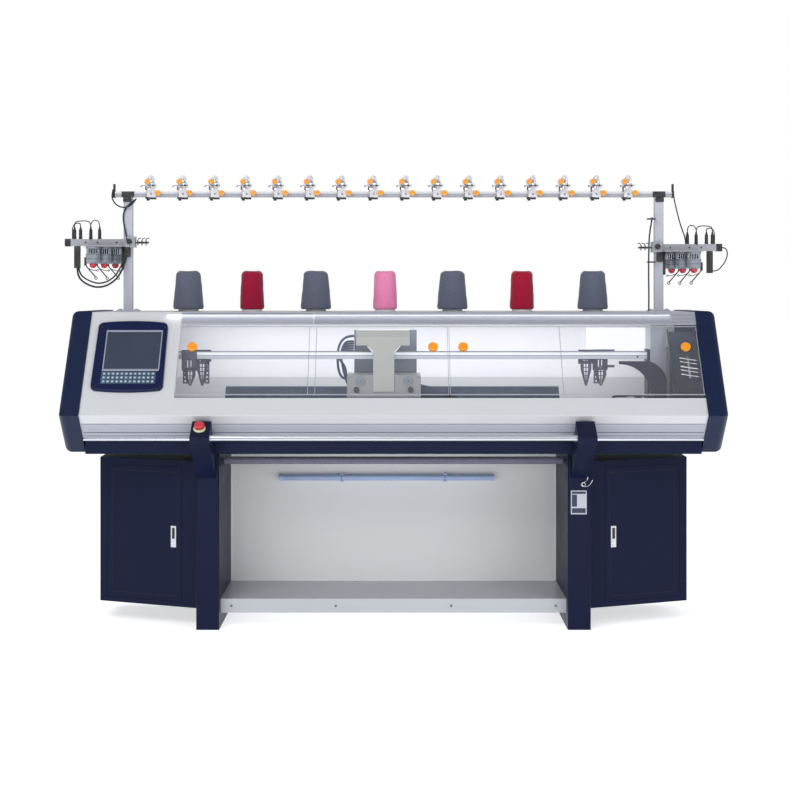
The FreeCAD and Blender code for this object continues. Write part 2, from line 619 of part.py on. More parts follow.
# Cones of yarn on pegs along the deck.
peg_radius = 9
disc_height = 8
narrow_cones = (1, 3, 5)
pegs, cones = [], []
for i, x in enumerate(cone_places):
    pegs.append(fuse([rod((x, cone_y, deck_height), (x, cone_y, deck_height + disc_height), 42),
                      rod((x, cone_y, deck_height), (x, cone_y, deck_height + 150), peg_radius)]))
    foot_radius, head_radius = (52.5, 45.5) if i in narrow_cones else (66, 51)
    base = V(x, cone_y, deck_height + disc_height)
    cone = Part.makeCone(foot_radius, head_radius, cone_height, base, V(0, 0, 1))
    cone = round_edges(cone, 8, lambda e: len(e.Vertexes) == 1)
    bore = rod((x, cone_y, base.z - 1), (x, cone_y, base.z + cone_height + 1), peg_radius + seat_gap)
    cones.append(cone.cut(bore))
save("cone_pegs", *pegs)
save("yarn_cones", *cones)

# Side yarn feeders: a bar clamped to each post, three feed units under it and their leads.
feeder_drop = 21                         # the right bar is clamped lower than the left one
bar_z0, bar_z1 = 1511, 1540
bar_from, bar_to = -half - 97, -post_x - 12
bar_depth = 20
unit_xs = [bar_from + 127, bar_from + 164.5, bar_from + 202]
unit_ys = [rack_y - 55, rack_y, rack_y + 55]


def feeder_bar():
    bar = box(bar_from, bar_to, rack_y - bar_depth / 2, rack_y + bar_depth / 2, bar_z0, bar_z1)
    shelf = box(unit_xs[0] - 34, bar_to, rack_y - 88, rack_y + 88, bar_z0 - 4, bar_z0)
    clamp = box(bar_to, -post_x + 30, rack_y - 27, rack_y + 27, bar_z0 - 6, bar_z1 + 10)
    hole = box(-post_x - post_section[0] / 2, -post_x + post_section[0] / 2, rack_y - post_section[1] / 2,
               rack_y + post_section[1] / 2, bar_z0 - 10, bar_z1 + 20)
    drop_plate = box(bar_from + 40, bar_from + 66, rack_y - bar_depth / 2, rack_y - bar_depth / 2 + 5,
                     bar_z0 - 91, bar_z0)
    return fuse([bar, shelf, clamp, drop_plate]).cut(hole)


def feeder_units():
    units = []
    for x, y in zip(unit_xs, unit_ys):
        body = rod((x, y, bar_z0 - 4), (x, y, bar_z0 - 76), 30)
        body = round_edges(body, 6, lambda e: len(e.Vertexes) == 1 and e.CenterOfMass.z < bar_z0 - 70)
        groove = rod((x, y, bar_z0 - 10), (x, y, bar_z0 - 22), 32).cut(rod((x, y, bar_z0), (x, y, bar_z0 - 30), 25))
        units.append(body.cut(groove))
    return units


def feeder_domes():
    domes = []
    for x, y in zip(unit_xs, unit_ys):
        dome = rod((x, y, bar_z0 - 76), (x, y, bar_z0 - 94), 15)
        domes.append(round_edges(dome, 9, lambda e: len(e.Vertexes) == 1 and e.CenterOfMass.z < bar_z0 - 90))
    return domes


def feeder_arms():
    arms = []
    for x, y in zip(unit_xs, unit_ys):
        arm = rod((x - 34, y, bar_z0 - 79), (x + 12, y, bar_z0 - 132), 2.5)
        ring = Part.makeTorus(5, 1.5, V(x + 12, y, bar_z0 - 135), V(0, 1, 0))
        lug = box(x - 37, x - 30.3, y - 5, y + 5, bar_z0 - 84, bar_z0 - 50)
        arms.append(fuse([arm, ring, lug]))
    for i in range(3):
        x = -post_x + 34 + 17 * i
        disc = rod((x, rack_y, bar_z0 + 14), (x + 10, rack_y, bar_z0 + 14), 13)
        arms.append(disc)
    pin = rod((-post_x + 30, rack_y, bar_z0 + 14), (-post_x + 82, rack_y, bar_z0 + 14), 3)
    discs = arms[-3:]
    return arms[:-3] + [fuse([pin] + discs)]


def feeder_plugs():
    plugs = []
    for dx, lean in ((40, 0), (65, 0), (105, 3), (145, 0)):
        foot = bar_z1 + 0.2 * lean
        plugs.append(rod((bar_from + dx, rack_y, foot), (bar_from + dx + lean, rack_y, bar_z1 + 38), 6))
    return plugs


def both_sides(make):
    left = make()
    right = [mirrored(shape) for shape in (left if isinstance(left, list) else [left])]
    for shape in right:
        shape.translate(V(0, 0, -feeder_drop))
    return (left if isinstance(left, list) else [left]) + right


save("feeder_bars", *both_sides(feeder_bar), *both_sides(feeder_plugs))
save("feeder_bodies", *both_sides(feeder_units))
save("feeder_domes", *both_sides(feeder_domes))
save("feeder_arms", *both_sides(feeder_arms))


# Leads: straight runs joined by tangent arcs.
def lead(name, points, diameter):
    points = [V(*p) for p in points]
    edges, start, radii = [], points[0], []
    for before, at, after in zip(points, points[1:], points[2:]):
        come, go = (at - before), (after - at)
        turn = come.getAngle(go)
        radius = 0.45 * min(come.Length, go.Length) / math.tan(turn / 2)
        radii.append(round(radius, 1))
        reach = radius * math.tan(turn / 2)
        come.normalize()
        go.normalize()
        enter, leave = at - come * reach, at + go * reach
        inward = (go - come).normalize()
        middle = at + inward * (radius / math.cos(turn / 2) - radius)
        edges.append(Part.LineSegment(start, enter).toShape())
        edges.append(Part.Arc(enter, middle, leave).toShape())
        start = leave
    edges.append(Part.LineSegment(start, points[-1]).toShape())
    path = Part.Wire(edges)
    ring = Part.Wire(Part.makeCircle(diameter / 2, points[0], points[1] - points[0]))
    tube = path.makePipeShell([ring], True, False)
    expected = math.pi * diameter ** 2 / 4 * path.Length
    print(name, "length", round(path.Length), "radii", radii, "volume ratio", round(tube.Volume / expected, 4))
    return tube


lead_y = rack_y - 95
save("left_hanging_lead", lead("left_hanging_lead", [
    (bar_from + 53, rack_y - 7.5, bar_z0 - 91.3), (bar_from + 53, rack_y - 7.5, bar_z0 - 114),
    (bar_from + 70, lead_y + 62, bar_z0 - 141), (bar_from + 102, lead_y + 30, bar_z0 - 161),
    (bar_from + 146, lead_y + 8, bar_z0 - 175), (bar_from + 190, lead_y + 8, bar_z0 - 168),
    (bar_from + 226, lead_y + 24, bar_z0 - 141), (bar_from + 246, lead_y + 42, bar_z0 - 106),
    (bar_from + 257, lead_y + 60, bar_z0 - 70), (bar_from + 261, rack_y - 21, bar_z0 - 36),
    (bar_from + 261, rack_y - 21, bar_z0 - 6.3)], 8))
right_z = bar_z0 - feeder_drop
right_end_x = -bar_from
save("right_side_lead", lead("right_side_lead", [
    (right_end_x + 0.3, rack_y, right_z + 14), (right_end_x + 12, rack_y, right_z + 14),
    (right_end_x + 22, rack_y - 2, right_z + 1), (right_end_x + 22, rack_y - 5, right_z - 20),
    (right_end_x + 14, rack_y - 7, right_z - 42), (right_end_x - 1, rack_y - 8, right_z - 64),
    (right_end_x - 21, rack_y - 8, right_z - 84), (right_end_x - 39.7, rack_y - 8, right_z - 84)], 5))

# Cable loop at the carriage's left side, from the top cover down to the front cam box.
save("carriage_lead", lead("carriage_lead", [
    (carriage_x[0] + 22.7, plate_y + 3, 1140), (carriage_x[0] - 4, plate_y + 3, 1140),
    (carriage_x[0] - 30, plate_y - 6, 1120), (carriage_x[0] - 42, plate_y - 18, 1088),
    (carriage_x[0] - 44, plate_y - 26, 1052), (carriage_x[0] - 42, plate_y - 30, 1016),
    (carriage_x[0] - 34, plate_y - 30, 984), (carriage_x[0] - 18, plate_y - 30, 968),
    (carriage_x[0] - 0.3, plate_y - 30, 968)], 10))
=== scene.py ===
import math
import random
import bmesh
import bpy
from mathutils import Matrix, Vector


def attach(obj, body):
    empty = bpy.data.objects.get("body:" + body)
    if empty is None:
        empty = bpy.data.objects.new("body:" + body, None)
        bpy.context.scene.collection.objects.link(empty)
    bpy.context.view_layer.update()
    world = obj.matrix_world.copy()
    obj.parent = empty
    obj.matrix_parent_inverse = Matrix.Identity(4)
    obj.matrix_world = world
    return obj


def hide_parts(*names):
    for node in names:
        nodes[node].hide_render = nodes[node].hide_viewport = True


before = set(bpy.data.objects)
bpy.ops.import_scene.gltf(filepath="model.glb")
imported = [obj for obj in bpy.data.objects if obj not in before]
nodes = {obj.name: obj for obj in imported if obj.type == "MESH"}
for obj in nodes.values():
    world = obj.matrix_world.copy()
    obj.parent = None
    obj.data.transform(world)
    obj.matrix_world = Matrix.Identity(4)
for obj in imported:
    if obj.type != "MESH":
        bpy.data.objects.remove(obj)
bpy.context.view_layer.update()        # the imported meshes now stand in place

rng = random.Random(7)
mm = 0.001


# Shader wiring.
class Signal:
    # A node output that can be used in ordinary arithmetic.
    def __init__(self, finish, socket):
        self.finish = finish
        self.socket = socket

    def calc(self, operation, other=None, flip=False):
        values = [self, other] if not flip else [other, self]
        values = [v for v in values if v is not None]
        return self.finish.add("ShaderNodeMath", {"operation": operation}, dict(enumerate(values)))

    def __add__(self, other):
        return self.calc("ADD", other)

    def __sub__(self, other):
        return self.calc("SUBTRACT", other)

    def __mul__(self, other):
        return self.calc("MULTIPLY", other)

    def __rsub__(self, other):
        return self.calc("SUBTRACT", other, flip=True)

    def __gt__(self, other):
        return self.calc("GREATER_THAN", other)

    def __lt__(self, other):
        return self.calc("LESS_THAN", other)

    def __abs__(self):
        return self.calc("ABSOLUTE")

    __radd__ = __add__
    __rmul__ = __mul__


class Finish:
    # One material and the nodes that make it.
    def __init__(self, name, **fixed):
        self.material = bpy.data.materials.new(name)
        self.material.use_nodes = True
        self.tree = self.material.node_tree
        self.shader = self.tree.nodes["Principled BSDF"]
        for key, value in fixed.items():
            self.shader.inputs[socketNames[key]].default_value = value

    def add(self, kind, settings=None, inputs=None, output=0):
        node = self.tree.nodes.new(kind)
        for key, value in (settings or {}).items():
            setattr(node, key, value)
        for key, value in (inputs or {}).items():
            socket = node.inputs[key]
            if isinstance(value, Signal):
                self.tree.links.new(value.socket, socket)
            else:
                socket.default_value = value
        return Signal(self, node.outputs[output])

    def place(self, scale=(1, 1, 1), turn=(0, 0, 0)):
        point = self.add("ShaderNodeTexCoord", output="Object")
        return self.add("ShaderNodeMapping", {}, {"Vector": point, "Scale": scale, "Rotation": turn})

    def part(self, axis, scale=(1, 1, 1)):
        return self.add("ShaderNodeSeparateXYZ", {}, {0: self.place(scale)}, axis)

    def noise(self, scale, detail=2, roughness=0.5, stretch=(1, 1, 1)):
        return self.add("ShaderNodeTexNoise", {}, {"Vector": self.place(stretch), "Scale": scale,
                                                   "Detail": detail, "Roughness": roughness})

    def cells(self, scale, stretch=(1, 1, 1), feature="F1"):
        return self.add("ShaderNodeTexVoronoi", {"feature": feature},
                        {"Vector": self.place(stretch), "Scale": scale})

    def spread(self, value, low, high, fromLow=0, fromHigh=1):
        return self.add("ShaderNodeMapRange", {}, {"Value": value, "From Min": fromLow, "From Max": fromHigh,
                                                   "To Min": low, "To Max": high})

    def blend(self, factor, first, second):
        settings = {"data_type": "RGBA"}
        inputs = {0: factor, 6: first if isinstance(first, Signal) else (*first, 1),
                  7: second if isinstance(second, Signal) else (*second, 1)}
        return self.add("ShaderNodeMix", settings, inputs, 2)

    def set(self, **values):
        for key, value in values.items():
            self.tree.links.new(value.socket, self.shader.inputs[socketNames[key]])

    def relief(self, height, strength=0.3, distance=0.0005):
        bump = self.add("ShaderNodeBump", {}, {"Height": height, "Strength": strength, "Distance": distance})
        self.tree.links.new(bump.socket, self.shader.inputs["Normal"])


socketNames = {"colour": "Base Color", "roughness": "Roughness", "metallic": "Metallic",
               "coat": "Coat Weight", "coatRoughness": "Coat Roughness", "alpha": "Alpha", "ior": "IOR",
               "sheen": "Sheen Weight", "glow": "Emission Color", "glowStrength": "Emission Strength",
               "specular": "Specular IOR Level", "anisotropic": "Anisotropic",
               "sheenRoughness": "Sheen Roughness"}


def tone(hexColour):
    # A display colour such as 1a2b3c as the linear values that shaders take.
    parts = [int(hexColour[i:i + 2], 16) / 255 for i in (0, 2, 4)]
    return tuple(p / 12.92 if p <= 0.04045 else ((p + 0.055) / 1.055) ** 2.4 for p in parts)


def scaled(colour, factor):
    return tuple(min(1.0, c * factor) for c in colour)


# Finishes.
def paint(name, colour, gloss=0.42, grain=900, depth=0.12, drift=0.1, coat=0.0, sheen=0.5):
    # Sprayed paint or powder coat: fine orange peel, a slow drift in shade and a little uneven gloss.
    finish = Finish(name, coatRoughness=0.12, coat=coat, specular=sheen)
    slow = finish.noise(3.5, 3)
    fine = finish.noise(grain, 2)
    finish.set(colour=finish.blend(slow, scaled(colour, 1 - drift), scaled(colour, 1 + drift)),
               roughness=finish.spread(finish.noise(14, 4), gloss - 0.06, gloss + 0.08))
    finish.relief(fine, depth, 0.0003)
    return finish.material


def moulding(name, colour, gloss=0.35, coat=0.2, sheen=0.5):
    # Moulded plastic: a spark-eroded grain and faint flow marks.
    finish = Finish(name, coat=coat, coatRoughness=0.25, specular=sheen)
    flow = finish.noise(9, 3, stretch=(1, 1, 3))
    finish.set(colour=finish.blend(flow, scaled(colour, 0.9), scaled(colour, 1.12)),
               roughness=finish.spread(finish.noise(30, 3), gloss - 0.05, gloss + 0.1))
    finish.relief(finish.cells(1400), 0.1, 0.0002)
    return finish.material


def brushed(name, colour, gloss=0.3, stretch=(2, 160, 160), metallic=1.0):
    # Metal drawn or ground along X, with long fine scratches.
    finish = Finish(name, metallic=metallic, anisotropic=0.4)
    lines = finish.noise(14, 4, 0.65, stretch)
    finish.set(colour=finish.blend(lines, scaled(colour, 0.82), scaled(colour, 1.12)),
               roughness=finish.spread(lines, gloss - 0.08, gloss + 0.14))
    finish.relief(lines, 0.12, 0.0002)
    return finish.material


def plated(name, colour, gloss=0.12):
    finish = Finish(name, metallic=1.0)
    haze = finish.noise(60, 3)
    finish.set(colour=finish.blend(haze, scaled(colour, 0.9), colour),
               roughness=finish.spread(haze, gloss, gloss + 0.12))
    finish.relief(finish.noise(300, 2), 0.04, 0.0002)
    return finish.material


def rubber(name, colour, gloss=0.55):
    finish = Finish(name)
    dust = finish.noise(45, 4)
    finish.set(colour=finish.blend(dust, colour, scaled(colour, 1.7)),
               roughness=finish.spread(dust, gloss - 0.06, gloss + 0.12))
    finish.relief(finish.noise(700, 2), 0.2, 0.0003)
    return finish.material


def acrylic(name, colour, clear=0.035, gloss=0.04, edge=0.14):
    # Clear sheet: nearly invisible face on; towards a glancing view it is made denser and brighter, a painted
    # reflection.
    finish = Finish(name, ior=1.49, specular=0.5)
    glancingSheen = finish.add("ShaderNodeLayerWeight", {}, {"Blend": 0.35}, "Fresnel")
    wipe = finish.noise(5, 4, 0.6, (1, 1, 3))
    finish.set(colour=finish.blend(wipe, scaled(colour, 0.96), colour),
               alpha=glancingSheen * edge + (clear - 0.01) + wipe * 0.02, roughness=finish.spread(wipe, gloss,
                                                                                           gloss + 0.06))
    return finish.material


print("stage: finishes")
finishes = {
    "navy": paint("navyPowderCoat", tone("0e1633"), 0.4, 800, 0.16, sheen=0.13),
    "navyCover": moulding("navyMoulding", tone("121f3e"), 0.32, 0.0, 0.2),
    "bezel": moulding("bezelMoulding", tone("0c1740"), 0.28, 0.05, 0.2),
    "white": paint("offWhitePaint", tone("caccd0"), 0.36, 1100, 0.08, 0.03, 0.15),
    "panel": paint("panelPaint", tone("f0f1f3"), 0.5, 700, 0.08, 0.03),
    "shelf": paint("shelfPaint", tone("b3b7bc"), 0.3, 500, 0.08, 0.05),
    "rail": brushed("railAnodised", tone("a0a2ae"), 0.42, (1, 40, 40), 0.3),
    "silver": brushed("brightAluminium", tone("d5d7e2"), 0.22),
    "steel": brushed("groundSteel", tone("6d7c90"), 0.32, (1, 120, 120), 0.85),
    "chrome": plated("chromePlate", tone("c9ccd4")),
    "clear": acrylic("clearAcrylic", tone("eef2f8")),
    "orange": moulding("orangeMoulding", tone("f39a08"), 0.28, 0.4),
    "red": moulding("redMoulding", tone("c8202f"), 0.25, 0.5),
    "pale": moulding("paleRing", tone("dfe3b8"), 0.4, 0.2),
    "beige": paint("greyEnamel", tone("abaea9"), 0.38, 900, 0.1, 0.06),
    "camGrey": paint("camBoxEnamel", tone("8f9195"), 0.38, 900, 0.1, 0.06),
    "post": paint("postPaint", tone("b4b6c2"), 0.4, 900, 0.08, 0.04, sheen=0.3),
    "slate": paint("slateEnamel", tone("6d7787"), 0.42, 900, 0.1, 0.08),
    "black": moulding("blackMoulding", tone("17181c"), 0.42, 0.1),
    "carrier": brushed("carrierSteel", tone("4b4a60"), 0.4, (40, 40, 2), 0.7),
    "rubber": rubber("rollerRubber", tone("5e6070")),
    "cable": rubber("cableSheath", tone("1a1c26"), 0.42),
    "cableBlue": rubber("blueCableSheath", tone("1d2a4a"), 0.4),
    "feeder": moulding("feederMoulding", tone("868c98"), 0.3, 0.3),
    "ivory": moulding("unitMoulding", tone("cfd0d4"), 0.34, 0.2),
}


# Mesh helpers.
def link(thing):
    bpy.context.scene.collection.objects.link(thing)
    return thing


def makePiece(name, build, finish, slot, body="frame", stands=None, smooth=35, parts=()):
    # Runs build(bm) on an empty mesh, in metres in the machine's own frame, and hangs it on a body. A finish
    # is a material or its name, and stands names the construction piece that the new piece stands for.
    bm = bmesh.new()
    build(bm)
    bmesh.ops.recalc_face_normals(bm, faces=bm.faces)
    mesh = bpy.data.meshes.new(name)
    bm.to_mesh(mesh)
    bm.free()
    piece = link(bpy.data.objects.new(name, mesh))
    for one in (finish, *parts):
        mesh.materials.append(finishes[one] if isinstance(one, str) else one)
    mesh.shade_smooth()
    mesh.set_sharp_from_angle(angle=math.radians(smooth))
    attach(piece, body)
    if stands:
        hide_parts(stands)


def addBox(bm, low, high, bevel=0.0, slot=0, turn=None, segments=2):
    # A box between two corners with rounded edges; turn is a matrix applied about its centre.
    low, high = Vector(low), Vector(high)
    centre, size = (low + high) / 2, high - low
    made = bmesh.ops.create_cube(bm, size=1)["verts"]
    bmesh.ops.scale(bm, vec=size, verts=made)
    if bevel:
        rounded = bmesh.ops.bevel(bm, geom=list({e for v in made for e in v.link_edges}), offset=bevel,
                                  segments=segments, profile=0.5, affect="EDGES")
        made = list({v for face in rounded["faces"] for v in face.verts})
    if turn is not None:
        bmesh.ops.transform(bm, matrix=turn, verts=made)
    bmesh.ops.translate(bm, vec=centre, verts=made)
    for face in {f for v in made for f in v.link_faces}:
        face.material_index = slot


def at(x, y, z):
    # A place in millimetres.
    return Vector((x, y, z)) * mm


def near(x, y, z):
    # A function for places in millimetres from an origin that is given in metres.
    origin = Vector((x, y, z))
    return lambda dx, dy, dz: origin + at(dx, dy, dz)


def blockOf(bm, x0, x1, y0, y1, z0, z1, bevel=0.0, slot=0):
    # A box with all its sizes in millimetres.
    addBox(bm, at(x0, y0, z0), at(x1, y1, z1), bevel * mm, slot)


def axisFrame(start, direction):
    # A matrix that carries +Z onto direction, at start.
    direction = Vector(direction).normalized()
    return Matrix.Translation(Vector(start)) @ direction.to_track_quat("Z", "Y").to_matrix().to_4x4()


def circle(bm, matrix, along, radius, sides):
    # Points round a matrix's Z axis; radius is a length, or gives one from a point's number.
    points = []
    for k in range(sides):
        a = 2 * math.pi * k / sides
        r = radius(k) if callable(radius) else radius
        points.append(bm.verts.new(matrix @ Vector((r * math.cos(a), r * math.sin(a), along))))
    return points


def skin(bm, rings, slot=0, caps=True):
    # Faces from each ring of points to the next, and over the two ends.
    faces = []
    for lower, upper in zip(rings, rings[1:]):
        for k in range(len(lower)):
            n = (k + 1) % len(lower)
            faces.append(bm.faces.new((lower[k], lower[n], upper[n], upper[k])))
    if caps:
        faces += [bm.faces.new(rings[0]), bm.faces.new(rings[-1])]
    for face in faces:
        face.material_index = slot


def addTurned(bm, start, direction, profile, sides=24, slot=0):
    # A turned piece: profile is (distance along, radius) pairs from start along direction.
    matrix = axisFrame(start, direction)
    skin(bm, [circle(bm, matrix, along, radius, sides) for along, radius in profile], slot)


def addFluted(bm, matrix, profile, sides, cut):
    # A turned knob: cut(k, radius) is the share of the radius that is taken away at point k.
    skin(bm, [circle(bm, matrix, along, lambda k: radius * (1 - cut(k, radius)), sides) for along,
              radius in profile])


def addTorus(bm, centre, direction, radius, tube, sides=16, round=8, slot=0):
    # A ring of round wire, square to direction.
    matrix = axisFrame(centre, direction)
    loops = []
    for k in range(sides):
        a = 2 * math.pi * k / sides
        loop = []
        for j in range(round):
            b = 2 * math.pi * j / round
            reach = radius + tube * math.cos(b)
            place = Vector((reach * math.cos(a), reach * math.sin(a), tube * math.sin(b)))
            loop.append(bm.verts.new(matrix @ place))
        loops.append(loop)
    skin(bm, loops + loops[:1], slot, caps=False)


def addRod(bm, start, end, radius, sides=12, slot=0, round=0.0):
    start, end = Vector(start), Vector(end)
    length = (end - start).length
    edge = min(round, length / 3, radius * 0.9)
    if edge:
        profile = [(0, radius - edge), (edge * 0.3, radius - edge * 0.3), (edge, radius),
                   (length - edge, radius), (length - edge * 0.3, radius - edge * 0.3),
                   (length, radius - edge)]
    else:
        profile = [(0, radius), (length, radius)]
    addTurned(bm, start, end - start, profile, sides, slot)


def addPrism(bm, outline, direction, slot=0):
    # A flat outline of points swept along a vector.
    direction = Vector(direction)
    first = [bm.verts.new(Vector(p)) for p in outline]
    last = [bm.verts.new(Vector(p) + direction) for p in outline]
    skin(bm, [first, last], slot)


def routeCurve(name, points, resolution):
    # A smooth curve that starts and ends on the first and last points.
    curve = bpy.data.curves.new(name, "CURVE")
    curve.dimensions = "3D"
    spline = curve.splines.new("NURBS")
    spline.points.add(len(points) - 1)
    for knot, point in zip(spline.points, points):
        knot.co = (*point, 1)
    spline.order_u = 3
    spline.use_endpoint_u = True
    spline.resolution_u = resolution
    return curve


def smoothPath(points):
    curve = routeCurve("route", points, 10)
    holder = bpy.data.objects.new("route", curve)
    mesh = bpy.data.meshes.new_from_object(holder)
    line = [v.co.copy() for v in mesh.vertices]
    bpy.data.objects.remove(holder)
    bpy.data.meshes.remove(mesh)
    bpy.data.curves.remove(curve)
    return line


def addTube(bm, line, radius, sides=8, slot=0):
    # A tube that follows a list of points.
    rings = []
    side = None
    for k, point in enumerate(line):
        ahead = (line[min(k + 1, len(line) - 1)] - line[max(k - 1, 0)]).normalized()
        side = (ahead.orthogonal() if side is None else side - ahead * side.dot(ahead)).normalized()
        other = ahead.cross(side)
        angles = [2 * math.pi * j / sides for j in range(sides)]
        rings.append([bm.verts.new(point + (side * math.cos(a) + other * math.sin(a)) * radius)
                      for a in angles])
    skin(bm, rings, slot)


def addCoil(bm, start, pitch, radius, steps, forward=False):
    # A fine spring, eight steps to a turn, that runs along X or, if forward, towards the front.
    line = []
    for k in range(steps):
        run, a = pitch * k / 8, k * math.pi / 4
        across, rise = radius * math.cos(a), radius * math.sin(a)
        line.append(start + Vector((across, -run, rise) if forward else (run, across, rise)))
    addTube(bm, line, 0.0006, 5)


def addWire(bm, points, radius, sides=8, place=None):
    # A smooth wire; place turns its points into places in the machine's own frame.
    addTube(bm, smoothPath([place(*point) for point in points] if place else points), radius, sides)


# Carried-over construction pieces.
def dress(name, material, bevel=0.0, angle=30):
    # Gives a construction piece its finish and, where it is sheet or moulding, softened edges.
    piece = nodes[name]
    piece.data.materials.clear()
    piece.data.materials.append(material)
    for polygon in piece.data.polygons:
        polygon.material_index = 0
    if bevel:
        weld = piece.modifiers.new("weld", "WELD")
        weld.merge_threshold = 0.00002
        soften = piece.modifiers.new("soften", "BEVEL")
        soften.width = bevel
        soften.segments = 2
        soften.limit_method = "ANGLE"
        soften.angle_limit = math.radians(angle)
        soften.harden_normals = True
        soften.use_clamp_overlap = True
    return piece


print("stage: construction pieces")
dressing = {  # piece: (finish, edge rounding in metres)
    "left_leg": ("navy", 0.0015), "right_leg": ("navy", 0.0015), "bed_beam": ("navy", 0.0015),
    "left_cabinet": ("navy", 0.001), "right_cabinet": ("navy", 0.001),
    "left_door": ("navy", 0), "right_door": ("navy", 0),
    "left_bar_bracket": ("navy", 0.002), "right_bar_bracket": ("navy", 0.002),
    "left_end_cover": ("navyCover", 0), "right_end_cover": ("navyCover", 0),
    "front_cover": ("white", 0), "yarn_table": ("white", 0), "rear_cover": ("white", 0),
    "edge_trim": ("silver", 0.001), "back_panel": ("panel", 0.0005), "fabric_shelf": ("shelf", 0),
    "screen_bezel": ("bezel", 0), "screen_glass": ("slate", 0), "keypad": ("slate", 0),
    "front_needle_bed": ("steel", 0.001), "rear_needle_bed": ("steel", 0.001),
    "yarn_rails": ("rail", 0.001), "rail_brackets": ("navy", 0.001), "carriage_guides": ("steel", 0.0005),
    "cam_boxes": ("camGrey", 0.002), "carriage_cover": ("beige", 0.0015), "carriage_plate": ("slate", 0.001),
    "carriage_knobs": ("black", 0), "drive_housing": ("navy", 0.001), "start_bar": ("silver", 0),
    "left_window": ("clear", 0), "right_window": ("clear", 0), "rear_window": ("clear", 0),
    "left_window_knobs": ("orange", 0), "right_window_knobs": ("orange", 0),
    "estop_collar": ("pale", 0.001), "estop_button": ("red", 0),
    "left_lock_lever": ("chrome", 0.0008), "right_lock_lever": ("chrome", 0.0008),
    "takedown_roller": ("rubber", 0), "work_lamp": ("white", 0.0005),
    "rack_posts": ("post", 0.002), "rack_beam": ("rail", 0.001),
    "tension_bodies": ("ivory", 0.001), "tension_knobs": ("orange", 0), "tension_arms": ("black", 0),
    "cone_pegs": ("ivory", 0), "yarn_cones": ("slate", 0), "feeder_bars": ("silver", 0.0008),
    "feeder_bodies": ("feeder", 0), "feeder_domes": ("red", 0), "feeder_arms": ("black", 0)}
for number in range(1, 5):
    dressing["yarn_carrier_" + str(number)] = ("carrier", 0.0005)
for name, (finish, bevel) in dressing.items():
    dress(name, finishes[finish], bevel)


# Leads.
print("stage: leads")
leads = {  # route points in millimetres, from the exit to the far end
    "left_hanging_lead": {"body": "frame", "diameter": 8, "length": 0.403, "finish": "cable", "points": [
        (-1325, 292.5, 1419.7), (-1325, 292.5, 1397), (-1308, 267, 1370), (-1276, 235, 1350),
        (-1232, 213, 1336), (-1188, 213, 1343), (-1152, 229, 1370), (-1132, 247, 1405), (-1121, 265, 1441),
        (-1117, 279, 1475), (-1117, 279, 1504.7)]},
    "right_side_lead": {"body": "frame", "diameter": 5, "length": 0.144, "finish": "cable", "points": [
        (1378.3, 300, 1504), (1390, 300, 1504), (1400, 298, 1491), (1400, 295, 1470), (1392, 293, 1448),
        (1377, 292, 1426), (1357, 292, 1406), (1338.3, 292, 1406)]},
    "carriage_lead": {"body": "carriage", "diameter": 10, "length": 0.24, "finish": "cableBlue", "points": [
        (-159.3, 57, 1140), (-186, 57, 1140), (-212, 48, 1120), (-224, 36, 1088), (-226, 28, 1052),
        (-224, 24, 1016), (-216, 24, 984), (-200, 24, 968), (-182.3, 24, 968)]}}
for name, lead in leads.items():
    curve = routeCurve(name + "_sheath", [[v * mm for v in point] for point in lead["points"]], 12)
    curve.bevel_depth = lead["diameter"] * mm / 2
    curve.bevel_resolution = 4
    curve.use_fill_caps = True
    curve.materials.append(finishes[lead["finish"]])
    sheath = link(bpy.data.objects.new(name + "_sheath", curve))
    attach(sheath, lead["body"])
    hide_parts(name)
    [v * mm for v in lead["points"][0]]
    lead["diameter"] * mm


# Yarn cones: wound packages whose angle and height steer the crossed yarn.
print("stage: yarn cones")
cone = {"places": (-0.854, -0.589, -0.323, -0.035, 0.245, 0.535, 0.830), "y": 0.25, "foot": 1.2463,
        "height": 0.159, "wide": (0.0657, 0.0507), "narrow": (0.0522, 0.0453), "narrowOnes": (1, 3, 5),
        "shades": ("grey", "wine", "grey", "pink", "grey", "crimson", "grey"), "grey": tone("63687a"),
        "wine": tone("9c1739"), "pink": tone("fc8eba"), "crimson": tone("a81a38")}


def woundYarn(name, colour, x):
    finish = Finish(name, sheen=0.35, sheenRoughness=0.4, specular=0.15)
    across = finish.part(0) - x
    angle = finish.add("ShaderNodeMath", {"operation": "ARCTAN2"}, {0: finish.part(1) - cone["y"], 1: across})
    height = finish.part(2)
    wander = finish.noise(22, 2) * 2.2
    rising = (height * 560 + angle * 9 + wander).calc("SINE")
    falling = (height * 560 - angle * 9 + wander).calc("SINE")
    strands = (height * 3100 + angle * 46).calc("SINE") + (height * 3100 - angle * 46).calc("SINE")
    fuzz = finish.noise(240, 4, 0.7)
    weave = rising * 0.1 + falling * 0.1 + strands * 0.2 + fuzz * 0.7
    finish.set(colour=finish.blend(finish.spread(weave, 0, 1, -0.5, 1.2), scaled(colour, 0.66),
                                   scaled(colour, 1.2)), roughness=finish.spread(fuzz, 0.78, 0.95))
    finish.relief(weave, 0.55, 0.0009)
    return finish.material


